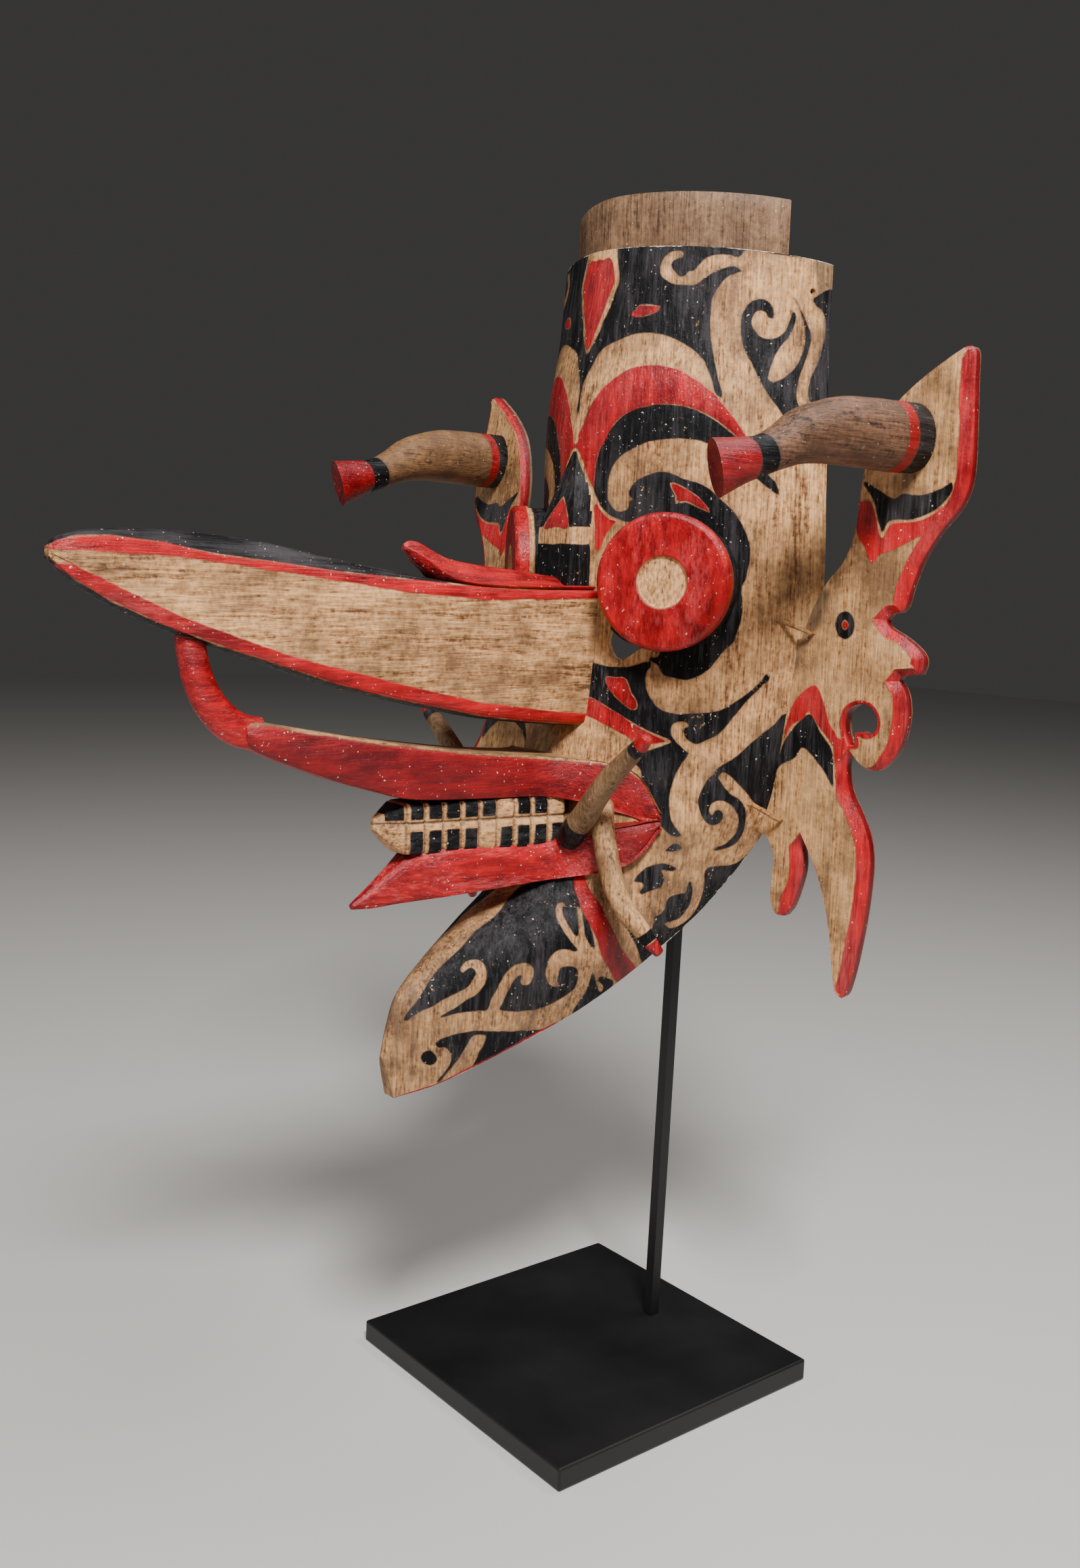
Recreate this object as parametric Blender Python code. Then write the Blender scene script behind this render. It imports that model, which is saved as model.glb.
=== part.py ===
"""A carved and painted hudoq mask with two board ears, on its steel stand.

Metres, +Z up. The mask looks along -Y and its left side is +X. The origin is the middle of the
stand plate's underside. Lengths below are written in millimetres times MM.
"""
import bmesh
import bpy
import numpy as np
from math import cos, pi, radians, sin
from mathutils import Matrix, Vector

MM = 0.001
GAP = 0.3 * MM                # clearance kept between pieces that touch

# Stand
PLATE_SIDE = 220 * MM
PLATE_THICK = 15 * MM
PLATE_BEVEL = 1.5 * MM
ROD_SIDE = 7.6 * MM
ROD_BACK = 66 * MM            # the rod stands this far behind the middle of the plate
ROD_LEAN = radians(1.3)       # the rod leans back by this much
ARM_HEIGHTS = (690 * MM, 470 * MM)
PAD_RADIUS = 16 * MM
PAD_THICK = 3 * MM
PAD_FORM_DEPTH = 12 * MM      # depth of a pad's round before the shell's curve trims it
CUT_OVERRUN = 5 * MM          # how far a cutter passes through what it cuts
HOLLOW_OVERRUN = 60 * MM      # and the hollow's form past the open back

# Head shell: front line, rim line and roundness of each station, from the crown to the chin tip
HEAD_STATIONS = [
    # front y, front z, rim x, rim y, rim z, exponent
    (-19, 749, 108, 76, 740, 1.70),
    (-25, 700, 110, 74, 697, 1.65),
    (-33, 650, 114, 72, 649, 1.65),
    (-35, 600, 118, 70, 600, 1.57),
    (-36, 550, 121, 69.5, 550, 1.45),
    (-38, 502, 120, 68, 501, 1.50),
    (-42, 455, 113, 69, 455, 1.65),
    (-52, 410, 104, 61, 411, 1.75),
    (-63, 378, 91, 51.5, 379, 1.80),
    (-78, 350, 75.5, 21.5, 337, 1.80),
    (-111, 329, 59.5, -15.5, 302, 1.80),
    (-140.5, 308, 44, -53, 274, 1.80),
    (-160, 290, 28, -98, 251, 1.80),
    (-167.5, 272, 15, -138, 234, 1.80),
    (-172, 254, 5, -165, 227, 1.80),
]
HEAD_WALL = 10 * MM
CHIN_SOLID = 1.6              # stations before the tip where the hollow ends
COLLAR_STEP = 8 * MM          # the collar stands this far inside the crown's outer edge
COLLAR_WALL = 7 * MM
COLLAR_HEIGHT = 34.5 * MM
COLLAR_BACK_CUT = 24 * MM     # the collar stops this far in front of the rim
COLLAR_ROOT = 12 * MM         # how far the collar's form reaches down into the crown
THROAT_DEPTH = 20 * MM        # how far the narrower throat goes down under the crown

# Nose block, carved with the head
NOSE_TOP = 630 * MM
NOSE_PEAK = 53 * MM           # height of the drawn-in top
NOSE_FRONT_Y = -50 * MM
NOSE_FLANK_Y = -27 * MM       # where the flanks end
NOSE_FLANK_RISE = 24 * MM     # the flanks' rear edges end this much higher than the shoulder
NOSE_RIDGE_Y = -33 * MM
NOSE_BACK_Y = 15 * MM
NOSE_HALF_FRONT = 16.5 * MM
NOSE_HALF_BACK = 19 * MM

# Snout: y, half width, top edge z, lower edge z, ridge rise, keel drop
SNOUT_STATIONS = [
    (-15, 23.0, 538, 452, 1.0, 3.0),
    (-45, 21.5, 538, 455, 1.0, 3.0),
    (-80, 20.0, 537.5, 458, 1.5, 3.0),
    (-112, 18.5, 538, 462, 2.0, 3.0),
    (-143, 17.0, 540, 468, 3.0, 3.0),
    (-173, 15.6, 542, 474, 5.0, 3.0),
    (-215, 13.7, 545, 484, 8.5, 3.0),
    (-253, 12.0, 549, 496, 11.0, 3.0),
    (-286, 10.6, 552, 506, 11.0, 3.0),
    (-317, 9.3, 557, 517, 7.5, 3.0),
    (-343, 8.2, 559.5, 528, 4.0, 2.5),
    (-360, 7.0, 558.5, 538, 3.0, 2.0),
    (-369, 5.0, 556, 545, 2.0, 1.5),
    (-373, 2.2, 553, 550, 0.8, 0.8),
]
SNOUT_BELLY = 0.8 * MM        # how far the side panels bulge

# Nose leaf on the snout: y, half width, ridge z, edge z
LEAF_STATIONS = [
    (-15, 20.5, 545.0, 541.0),
    (-45, 19.5, 546.0, 541.0),
    (-80, 17.5, 549.5, 540.5),
    (-110, 15.0, 552.0, 541.0),
    (-130, 12.5, 555.0, 543.5),
    (-142, 10.0, 559.5, 549.0),
    (-151, 7.5, 563.5, 555.5),
    (-158, 4.5, 564.5, 559.5),
    (-162, 1.8, 562.5, 561.0),
]
LEAF_THICK = 6 * MM

# Mouth: y, half width, upper and lower height of each lip, measured from the bite
BITE_LEVEL = 398 * MM
UPPER_LIP = [
    (-266, 6.5, 63, 52), (-255, 9.5, 63, 45), (-222, 13, 57, 32), (-187, 16.5, 51, 21),
    (-160, 18.5, 47, 15), (-115, 22, 41, 13), (-75, 26, 37.5, 12), (-56, 35, 36, 10),
    (-42, 47, 35, 6), (-30, 58, 31, 2), (-23, 64.5, 24, -1), (-18, 69, 13, -2),
    (-14, 71, 4, -2),
]
LOWER_LIP = [
    (-194, 1.6, -47, -50.5), (-181, 3.8, -38, -51), (-167, 6.5, -27.5, -50), (-153, 10, -17.5, -48.5),
    (-143, 14, -17, -47.3), (-129, 18, -17, -46), (-75, 26, -17, -42), (-62, 36, -15, -39),
    (-52, 48, -11, -35.5), (-42, 58, -6, -32), (-32, 66, -3, -26.5), (-23, 70, -1, -18),
    (-15, 72.5, 0, -6),
]
UPPER_CREST, LOWER_CREST = 0.45, 0.6           # where each lip is widest, as a share of its height
UPPER_ROW = 12 * MM           # height of the upper teeth above the bite
LOWER_ROW = 19 * MM           # and of the lower teeth under it
TOOTH_FRONT = -180.6 * MM
TOOTH_POINT = 17.6 * MM       # length of the first tooth, the rows' front point
TOOTH_PITCH = 12.0 * MM
TOOTH_COUNT = 9               # teeth behind the first
TOOTH_GROOVE = 1.4 * MM
TOOTH_HALF_FRONT = 9.5 * MM
TOOTH_HALF_BACK = 29 * MM

# Hook between the lip's tip and the snout, along the middle plane: y, z, half height
HOOK_PATH = [
    (-297, 517, 8.5), (-296, 505, 8.5), (-294.5, 496, 8.5), (-291.5, 485, 8.8), (-285.5, 473, 9.2),
    (-277, 463.5, 9.5), (-268, 457.5, 9.5), (-256, 454.5, 9.5),
]
HOOK_HALF_WIDTH = 6.5 * MM

# Eyes: drums of two steps on the face
EYE_CENTRE = (76 * MM, -26 * MM)                # middle of an eye's front face
EYE_LEVEL = 545 * MM
EYE_RISE = 6 * MM                              # the right one sits this much higher
EYE_TURN = radians(32)
EYE_RADIUS = 42 * MM
EYE_NECK_RADIUS = 40.8 * MM
EYE_CAP_THICK = 10 * MM
EYE_BEVEL = 3 * MM
EYE_LENGTH = 42 * MM
PUPIL_RADIUS = 15 * MM
PUPIL_DEPTH = 2.5 * MM
SLIT_INNER = 36 * MM          # inner radius of the seeing slit under the drum
SLIT_EDGE = [                 # turn in degrees, outer radius
    (188, 37), (200, 41), (212, 44.5), (219, 49), (224, 54.5), (228.5, 57.5), (233, 59.3),
    (237.5, 58.7), (240.5, 56), (243, 51.8), (246, 47), (250, 43.5), (256, 40), (262, 37),
]

# Ears: boards outside the shell; outline u (outward from the joint) and z
EAR_JOINT_OUT = 118 * MM
LEFT_EAR_BACK = 53 * MM       # hand-lashed, so the ears aren't set alike
RIGHT_EAR_BACK = 33.4 * MM
EAR_PLACES = {                # joint x, joint y, sweep back, lean back
    1: (EAR_JOINT_OUT, LEFT_EAR_BACK, radians(11), 0.0),
    -1: (EAR_JOINT_OUT, RIGHT_EAR_BACK, radians(2.3), radians(8.4)),
}
EAR_LEVEL = 550 * MM          # the height at which the joint is measured
RIGHT_EAR_WIDER = 7 * MM      # the right ear is cut wider at this height
RIGHT_EAR_SPLAY = 0.042       # and wider still below it, for each unit of height
RIGHT_EAR_FULL = 30 * MM      # distance out from which the whole extra width counts
LOBE_LEVEL = 437 * MM
RIGHT_LOBE_SHARE = 0.9        # length of the right ear's lobe, as a share of the left one's
EAR_THICK = 10.5 * MM
EAR_CHAMFER = 4.5 * MM
EAR_INSET = 1.5 * MM          # width of the front edge's chamfer on inner edges
EAR_OUTER_INSET = 7.5 * MM    # and on edges that face outwards
EAR_OUTLINE = [
    (-24, 500), (-12, 513), (1, 514), (5, 528), (11, 541), (17, 551), (25, 560), (30, 571),
    (33, 584), (34, 600), (36, 615), (41, 631), (48, 645), (56, 655), (65, 663), (75, 670.5),
    (86, 677.5), (94, 682), (98, 682), (100.5, 678), (101, 663), (102.5, 640), (103, 611),
    (98, 594), (87, 580), (77, 564), (71, 548), (68, 536), (65, 532), (59, 531), (56, 527),
    (58.5, 522.5), (69, 517), (79, 509.5), (82, 503), (80, 496), (68, 494.5), (66.5, 491.5),
    (70, 487), (72.5, 480), (73.5, 470), (72, 459), (68.5, 449), (63, 441.5), (57, 437),
    (50, 436.5), (44, 440), (38.5, 446), (35.5, 437), (38.5, 422), (46.5, 408), (53, 394),
    (55.5, 378), (55, 361), (53.5, 343), (51.5, 328), (49.5, 315), (47, 303), (44.5, 295),
    (41.5, 292), (38.5, 294), (36, 301), (33.5, 315), (31, 332), (27, 349), (22.5, 362),
    (17, 374.5), (8.5, 390), (8, 383), (9.5, 373), (8.8, 364), (6, 353), (2.5, 343), (-2, 337),
    (-6, 336.5), (-10, 340), (-12.5, 350), (-12, 363), (-11.5, 373), (-14, 381), (-19, 386.5),
    (-34, 389), (-36, 403), (-32, 430), (-28, 460), (-24, 485),
]
EAR_HOLE = [
    (34, 467), (36, 472), (40.5, 475.3), (47, 476), (52, 473.5), (55.3, 468.4), (55.6, 463),
    (53.5, 459.5), (49, 457.8), (45, 459), (42.2, 458.6), (41.8, 455), (42.6, 451.2),
    (37.5, 450.5), (34.6, 458),
]

# Ear ornaments: how far forward of the ear, z, half width, half height
LEFT_HORN_ROOT = 67 * MM      # distance out along the ear at the root
RIGHT_HORN_ROOT = 78 * MM
HORN_TIP = 37 * MM            # and at the tip
HORN_ROOTS = {1: LEFT_HORN_ROOT, -1: RIGHT_HORN_ROOT}
HORN_PATH = [
    (0.0, 632, 15, 20), (20, 631.5, 16, 20), (40, 631.5, 16.3, 19.5), (60, 631, 16, 18.8),
    (77, 629, 15, 17), (93, 625.5, 13.5, 15), (108, 619, 11.5, 12), (123, 613, 10.5, 10.8),
    (137, 609.5, 11.2, 12.5), (151, 605.5, 13.5, 15.5),
]

# Tusks: x, y, height from the bite, radius
UPPER_TUSK = [
    (36, -58, -14, 8.0), (44, -61, -7, 8.4), (56, -63, 4, 8.0), (70, -65, 19, 7.3),
    (84, -66, 33, 6.6), (97, -66.5, 44, 5.8), (107, -67, 52, 5.0), (114, -67.5, 58, 3.6),
]
LOWER_TUSK = [
    (46, -40, 7, 7.2), (57, -49, -2, 7.2), (63, -49, -19.5, 7.2), (70, -47.5, -38, 6.9),
    (77, -43, -52, 6.4), (84.5, -37.5, -61.5, 5.6), (90, -32.5, -70.5, 4.6), (94, -28.5, -78, 3.2),
]

# Rattan ties, through a hole in the shell and one in the ear
TIE_RADIUS = 1.4 * MM
TIE_HOLE_RADIUS = 2.3 * MM
TIE_BOW = 5 * MM
# Where a tie leaves the shell, and where it enters the ear: u, forward, z
UPPER_TIE = ((-10, 9, 524), (9, 0, 517))
LOWER_TIE = ((-22, 14, 409), (-6, 0, 399))

SIDES = {"left": 1, "right": -1}

WOOD = {"colour": (0.52, 0.38, 0.23), "roughness": 0.6}
RED = {"colour": (0.5, 0.02, 0.03), "roughness": 0.35}
HORN = {"colour": (0.16, 0.09, 0.055), "roughness": 0.45}
RATTAN = {"colour": (0.3, 0.16, 0.06), "roughness": 0.7}
STEEL = {"colour": (0.012, 0.012, 0.013), "roughness": 0.45, "metallic": 0.6}


def finish(colour, roughness, metallic=0.0):
    """A plain Principled material."""
    made = bpy.data.materials.new("finish")
    made.use_nodes = True
    shader = made.node_tree.nodes["Principled BSDF"]
    shader.inputs["Base Color"].default_value = (*colour, 1.0)
    shader.inputs["Roughness"].default_value = roughness
    shader.inputs["Metallic"].default_value = metallic
    return made


def put(name, points, faces, **look):
    """One object from points and faces, with its normals turned outwards."""
    mesh = bpy.data.meshes.new(name)
    mesh.from_pydata([tuple(map(float, point)) for point in points], [], faces)
    made = bmesh.new()
    made.from_mesh(mesh)
    bmesh.ops.recalc_face_normals(made, faces=made.faces)
    made.to_mesh(mesh)
    made.free()
    mesh.shade_smooth()
    mesh.set_sharp_from_angle(angle=radians(35))
    mesh.materials.append(finish(**(look or WOOD)))
    thing = bpy.data.objects.new(name, mesh)
    bpy.context.scene.collection.objects.link(thing)
    return thing


def block(name, low, high, **look):
    """A box between two corners."""
    points = [(x, y, z) for x in (low[0], high[0]) for y in (low[1], high[1]) for z in (low[2], high[2])]
    faces = [(0, 1, 3, 2), (4, 6, 7, 5), (0, 4, 5, 1), (2, 3, 7, 6), (0, 2, 6, 4), (1, 5, 7, 3)]
    return put(name, points, faces, **look)


def as_cutter(thing):
    """A guide or cutter, which is no piece of the model."""
    thing.hide_render = True
    thing.display_type = "WIRE"
    return thing


def combine(thing, other, operation):
    """Add an exact Boolean of this operation with a hidden object."""
    modifier = thing.modifiers.new(operation.lower(), "BOOLEAN")
    modifier.operation = operation
    modifier.solver = "EXACT"
    modifier.object = as_cutter(other)
    return thing


def loft(rings, name, **look):
    """Rings of equally many points, joined in order and capped at both ends."""
    rings = np.asarray(rings, float)
    count, around = rings.shape[:2]
    faces = []
    for row in range(count - 1):
        for col in range(around):
            low, low_after = row * around + col, row * around + (col + 1) % around
            high, high_after = low + around, low_after + around
            faces.append((low, low_after, high_after))
            faces.append((low, high_after, high))
    faces.append(tuple(reversed(range(around))))
    faces.append(tuple((count - 1) * around + col for col in range(around)))
    return put(name, rings.reshape(-1, 3), faces, **look)


def through(values, samples):
    """A smooth curve through rows of numbers, by Catmull-Rom, at equally spaced samples."""
    rows = np.asarray(values, float)
    padded = np.vstack([2 * rows[0] - rows[1], rows, 2 * rows[-1] - rows[-2]])
    at = np.linspace(0, len(rows) - 1, samples)
    first = np.minimum(at.astype(int), len(rows) - 2)
    part = (at - first)[:, None]
    p0, p1, p2, p3 = (padded[first + step] for step in range(4))
    return 0.5 * (2 * p1 + (p2 - p0) * part + (2 * p0 - 5 * p1 + 4 * p2 - p3) * part ** 2
                  + (3 * p1 - p0 - 3 * p2 + p3) * part ** 3)


def oval_tube(path, half_across, half_up, across, around=12):
    """Rings along a path; across is the direction that the ovals' first half lengths lie in."""
    path = np.asarray(path, float)
    along = np.gradient(path, axis=0)
    along /= np.linalg.norm(along, axis=1)[:, None]
    side = np.asarray(across, float) - (along @ np.asarray(across, float))[:, None] * along
    side /= np.linalg.norm(side, axis=1)[:, None]
    up = np.cross(along, side)
    turn = np.linspace(0, 2 * pi, around, endpoint=False)
    return (path[:, None] + side[:, None] * (np.cos(turn)[None, :, None] * half_across[:, None, None])
            + up[:, None] * (np.sin(turn)[None, :, None] * half_up[:, None, None]))


# Head

def head_rings(inset=0.0, first=0.0, last=None, rows=24, around=29, overrun=0.0):
    """Half-round rings between the rims; inset moves them inwards, overrun past the rim."""
    count = len(HEAD_STATIONS) - 1
    last = count if last is None else last
    table = through(HEAD_STATIONS, 40 * count + 1)
    at = (np.linspace(first, last, rows) * 40).astype(int)
    rings = []
    for front_y, front_z, rim_x, rim_y, rim_z, power in table[at]:
        front = np.array((0.0, front_y, front_z)) * MM
        middle = np.array((0.0, rim_y, rim_z)) * MM
        reach = front - middle
        depth = np.linalg.norm(reach)
        reach *= max(depth - inset, 1 * MM) / depth
        half = max(rim_x * MM - inset, 1 * MM)
        turn = np.linspace(-pi / 2, pi / 2, around)
        wide = np.sign(np.sin(turn)) * np.abs(np.sin(turn)) ** (2 / power) * half
        deep = np.abs(np.cos(turn)) ** (2 / power)
        ring = middle + wide[:, None] * np.array((1.0, 0, 0)) + deep[:, None] * reach
        if overrun:
            back = -reach / np.linalg.norm(reach) * overrun
            ring = np.vstack([ring[:1] + back, ring, ring[-1:] + back])
        rings.append(ring)
    return np.array(rings)


def head_solid(name, inset=0.0, **look):
    """The head as a solid block, closed across its open back."""
    return loft(head_rings(inset), name, **look)


def hollow_rings(inset):
    """The hollow behind the face, open at the back and up through the collar."""
    inside = head_rings(inset, last=len(HEAD_STATIONS) - 1 - CHIN_SOLID, rows=22, around=25,
                        overrun=HOLLOW_OVERRUN)
    throat = head_rings(inset + COLLAR_STEP + COLLAR_WALL - HEAD_WALL, last=1, rows=2, around=25,
                        overrun=HOLLOW_OVERRUN)[0]
    top = throat + (0, 0, COLLAR_HEIGHT + CUT_OVERRUN)
    return np.concatenate([[top, throat - (0, 0, THROAT_DEPTH)], inside[3:]])


def crown_block(name, inset, low, high):
    """The crown's own outline, inset and drawn up from low to high above the crown's edge."""
    ring = head_rings(inset, last=1, rows=2)[0]
    return loft([ring + (0, 0, low), ring + (0, 0, high)], name)


def nose_hull(name):
    """The black pyramid between the brows, with its upright flanks."""
    foot = LEAF_STATIONS[0][3] * MM - LEAF_THICK
    shoulder = NOSE_TOP - NOSE_PEAK
    made = bmesh.new()
    made.verts.new((0, NOSE_RIDGE_Y, NOSE_TOP))
    made.verts.new((0, NOSE_BACK_Y, NOSE_TOP - LEAF_THICK))
    for side in (-1, 1):
        made.verts.new((side * NOSE_HALF_FRONT, NOSE_FRONT_Y, shoulder))
        made.verts.new((side * NOSE_HALF_FRONT, NOSE_FRONT_Y, foot))
        for y in (NOSE_FLANK_Y, NOSE_FLANK_Y + GAP * 10):
            made.verts.new((side * NOSE_HALF_BACK, y, shoulder + NOSE_FLANK_RISE))
            made.verts.new((side * NOSE_HALF_BACK, y, foot))
    hull = bmesh.ops.convex_hull(made, input=made.verts)
    spare = set(hull["geom_unused"] + hull["geom_interior"])
    bmesh.ops.delete(made, geom=[each for each in spare if isinstance(each, bmesh.types.BMVert)],
                     context="VERTS")
    made.verts.ensure_lookup_table()
    points = [tuple(vert.co) for vert in made.verts]
    faces = [tuple(vert.index for vert in face.verts) for face in made.faces]
    made.free()
    return put(name, points, faces)


def slit_block(name, side):
    """The crescent that is cut through the shell below and inside an eye drum."""
    outer = [(radius * MM, radians(turn)) for turn, radius in SLIT_EDGE]
    inner = [(SLIT_INNER, turn) for radius, turn in outer]
    outline = inner + outer[::-1]
    place = eye_frame(side)
    rings = []
    for depth in (-EYE_LENGTH - 5 * CUT_OVERRUN, CUT_OVERRUN):
        rings.append([place @ Vector((side * radius * cos(at), radius * sin(at), depth))
                      for radius, at in outline])
    return loft(rings, name)


# Snout, leaf, mouth and hook

def snout_ring(y, half, top, low, rise, keel, grow):
    """One section of the snout: flat sides, a low roof and a shallow keel."""
    y, half, top, low, rise, keel = (value * MM for value in (y, half, top, low, rise, keel))
    half += grow
    top += grow
    low -= grow
    right = [
        (0, top + rise), (half * 0.5, top + rise * 0.8), (half * 0.85, top + rise * 0.3),
        (half, top - 1.5 * MM), (half + SNOUT_BELLY, (top * 2 + low) / 3),
        (half + SNOUT_BELLY, (top + low * 2) / 3), (half, low + 1.5 * MM),
        (half * 0.8, low - keel * 0.5), (0, low - keel),
    ]
    left = [(-x, z) for x, z in right[1:-1]][::-1]
    return [(x, y, z) for x, z in right + left]


def snout_solid(name, grow=0.0, **look):
    return loft([snout_ring(*station, grow) for station in SNOUT_STATIONS], name, **look)


def leaf_solid(name, grow=0.0, **look):
    """The red leaf: a roofed blade that lies on the snout and lifts at its tip."""
    rings = []
    for y, half, ridge, edge in LEAF_STATIONS:
        y, half, ridge, edge = (value * MM for value in (y, half, ridge, edge))
        half += grow
        low = min(LEAF_THICK, half)
        right = [
            (0, ridge + grow), (half * 0.3, ridge * 0.8 + edge * 0.2 + grow),
            (half * 0.7, ridge * 0.25 + edge * 0.75 + grow), (half, edge + grow),
            (half, edge - 1.5 * MM - grow), (half * 0.5, edge - low - grow), (0, edge - low - grow),
        ]
        left = [(-x, z) for x, z in right[1:-1]][::-1]
        rings.append([(x, y, z) for x, z in right + left])
    return loft(rings, name, **look)


def lip_solid(stations, name, grow, crest, **look):
    """One lip: a bar of rounded section that widens to the mouth's corners."""
    rings = []
    for y, half, top, low in stations:
        y, half, top, low = (value * MM for value in (y, half, top, low))
        half += grow
        top += BITE_LEVEL + grow
        low += BITE_LEVEL - grow
        middle = low + (top - low) * crest
        round_off = min(2 * MM, (top - low) * 0.2, half * 0.3)
        right = [(0, top), (half - round_off, top), (half, top - round_off), (half + 1 * MM, middle),
                 (half - 0.5 * MM, low + round_off), (half - 2 * round_off, low), (0, low)]
        left = [(-x, z) for x, z in right[1:-1]][::-1]
        rings.append([(x, y, z) for x, z in right + left])
    return loft(rings, name, **look)


def teeth_solid(name, grow):
    """Two rows of teeth: a bar whose sides dip between the teeth and along the bite."""
    rings = []
    length = TOOTH_POINT + TOOTH_PITCH * TOOTH_COUNT
    dips = [(TOOTH_POINT + tooth * TOOTH_PITCH + step, TOOTH_GROOVE * (step == 0))
            for tooth in range(TOOTH_COUNT + 1)
            for step in (-0.5 * TOOTH_GROOVE, 0.0, 0.5 * TOOTH_GROOVE)]
    for along, dip in [(0.0, 0.0), (0.3 * TOOTH_POINT, 0.0), (0.65 * TOOTH_POINT, 0.0)] + dips:
        half = TOOTH_HALF_FRONT + (TOOTH_HALF_BACK - TOOTH_HALF_FRONT) * along / length
        close = min(1.0, 0.12 + 0.88 * along / TOOTH_POINT) ** 0.8
        half = (half - dip) * close + grow
        top = BITE_LEVEL + UPPER_ROW * close + grow
        low = BITE_LEVEL - LOWER_ROW * close - grow
        right = [(0, top), (half - 2 * MM * close, top), (half, top - 3 * MM * close),
                 (half, BITE_LEVEL + 1.2 * MM * close),
                 (half - TOOTH_GROOVE * close, BITE_LEVEL),
                 (half, BITE_LEVEL - 1.2 * MM * close), (half, low + 3 * MM * close),
                 (half - 2 * MM * close, low), (0, low)]
        left = [(-x, z) for x, z in right[1:-1]][::-1]
        rings.append([(x, TOOTH_FRONT + along, z) for x, z in right + left])
    return loft(rings, name)


def mouth_solid(name, grow=0.0, **look):
    """Upper lip, teeth and lower lip, carved from one block."""
    mouth = lip_solid(UPPER_LIP, name, grow, UPPER_CREST, **look)
    combine(mouth, teeth_solid(name + "_teeth_form", grow), "UNION")
    combine(mouth, lip_solid(LOWER_LIP, name + "_lower_form", grow, LOWER_CREST), "UNION")
    return mouth


def hook_solid(name, **look):
    path = through(HOOK_PATH, 15) * MM
    rings = oval_tube(np.column_stack([np.zeros(len(path)), path[:, 0], path[:, 1]]),
                      np.full(len(path), HOOK_HALF_WIDTH), path[:, 2], (1, 0, 0), 12)
    return loft(rings, name, **look)


# Eyes

def eye_frame(side):
    """Places the drum's axis, its own +Z, at the middle of the eye's front face."""
    x, y = EYE_CENTRE
    out = Vector((side * sin(EYE_TURN), -cos(EYE_TURN), 0))
    across = Vector((side * cos(EYE_TURN), sin(EYE_TURN), 0)) * side
    up = Vector((0, 0, 1))
    turn = Matrix((across, up, out)).transposed().to_4x4()
    height = EYE_LEVEL + EYE_RISE * (side < 0)
    return Matrix.Translation((side * x, y, height)) @ turn


def eye_solid(name, side, grow=0.0):
    """A drum with a wider cap, a bevelled front and a sunk pupil."""
    cap = EYE_RADIUS + grow
    neck = EYE_NECK_RADIUS + grow
    profile = [
        (PUPIL_RADIUS, -PUPIL_DEPTH), (PUPIL_RADIUS + 1.2 * MM, grow), (cap - EYE_BEVEL, grow),
        (cap, -EYE_BEVEL * 0.7), (cap, -EYE_CAP_THICK), (neck, -EYE_CAP_THICK - 1 * MM),
        (neck, -EYE_LENGTH),
    ]
    place = eye_frame(side)
    around = 32
    rings = []
    for radius, depth in profile:
        rings.append([place @ Vector((radius * cos(at), radius * sin(at), depth))
                      for at in np.linspace(0, 2 * pi, around, endpoint=False)])
    return loft(rings, name)


# Ears and what they carry

def ear_point(side, u, back, z):
    """A point by distance out along an ear, behind its front face, and height."""
    x, y, sweep, lean = EAR_PLACES[side]
    back += (z - EAR_LEVEL) * np.tan(lean)
    return Vector((side * (x + u * cos(sweep) - back * sin(sweep)),
                   y + u * sin(sweep) + back * cos(sweep), z))


def ear_cut(side, outline):
    """The outline of one ear: the right one is wider and its lobe is shorter."""
    rows = np.asarray(outline, float) * MM
    if side > 0:
        return rows
    u, z = rows.T
    share = np.clip(u / RIGHT_EAR_FULL, 0, 1)
    wider = u + share * (RIGHT_EAR_WIDER + (EAR_LEVEL - z) * RIGHT_EAR_SPLAY)
    higher = np.maximum(0, LOBE_LEVEL - z) * (1 - RIGHT_LOBE_SHARE)
    return np.column_stack([wider, z + higher])


def inset_outline(outline):
    """The outline of the ear's front face, which lies inside the board's own by its chamfer."""
    rows = np.asarray(outline, float)
    before = rows - np.roll(rows, 1, axis=0)
    after = np.roll(rows, -1, axis=0) - rows
    before /= np.linalg.norm(before, axis=1)[:, None]
    after /= np.linalg.norm(after, axis=1)[:, None]
    area = np.sum(rows[:, 0] * np.roll(rows[:, 1], -1) - rows[:, 1] * np.roll(rows[:, 0], -1))
    inward = np.sign(area) * np.column_stack([-(before + after)[:, 1], (before + after)[:, 0]])
    inward /= np.maximum(np.linalg.norm(inward, axis=1)[:, None], 1e-6)
    outer = np.clip(-inward[:, :1], 0, 1)
    return rows + inward * (EAR_INSET + (EAR_OUTER_INSET - EAR_INSET) * outer)


def ear_solid(name, side, **look):
    """A board of the ear's outline with a chamfered front edge and the scroll's eye cut out."""
    outline = ear_cut(side, EAR_OUTLINE)
    front = inset_outline(outline)
    rings = [
        [ear_point(side, u, GAP, z) for u, z in front],
        [ear_point(side, u, EAR_CHAMFER, z) for u, z in outline],
        [ear_point(side, u, EAR_THICK, z) for u, z in outline],
    ]
    ear = loft(rings, name, **look)
    hole = loft([[ear_point(side, u, back, z) for u, z in ear_cut(side, EAR_HOLE)]
                 for back in (-CUT_OVERRUN, EAR_THICK + CUT_OVERRUN)], name + "_scroll_eye")
    return combine(ear, hole, "DIFFERENCE")


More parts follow.
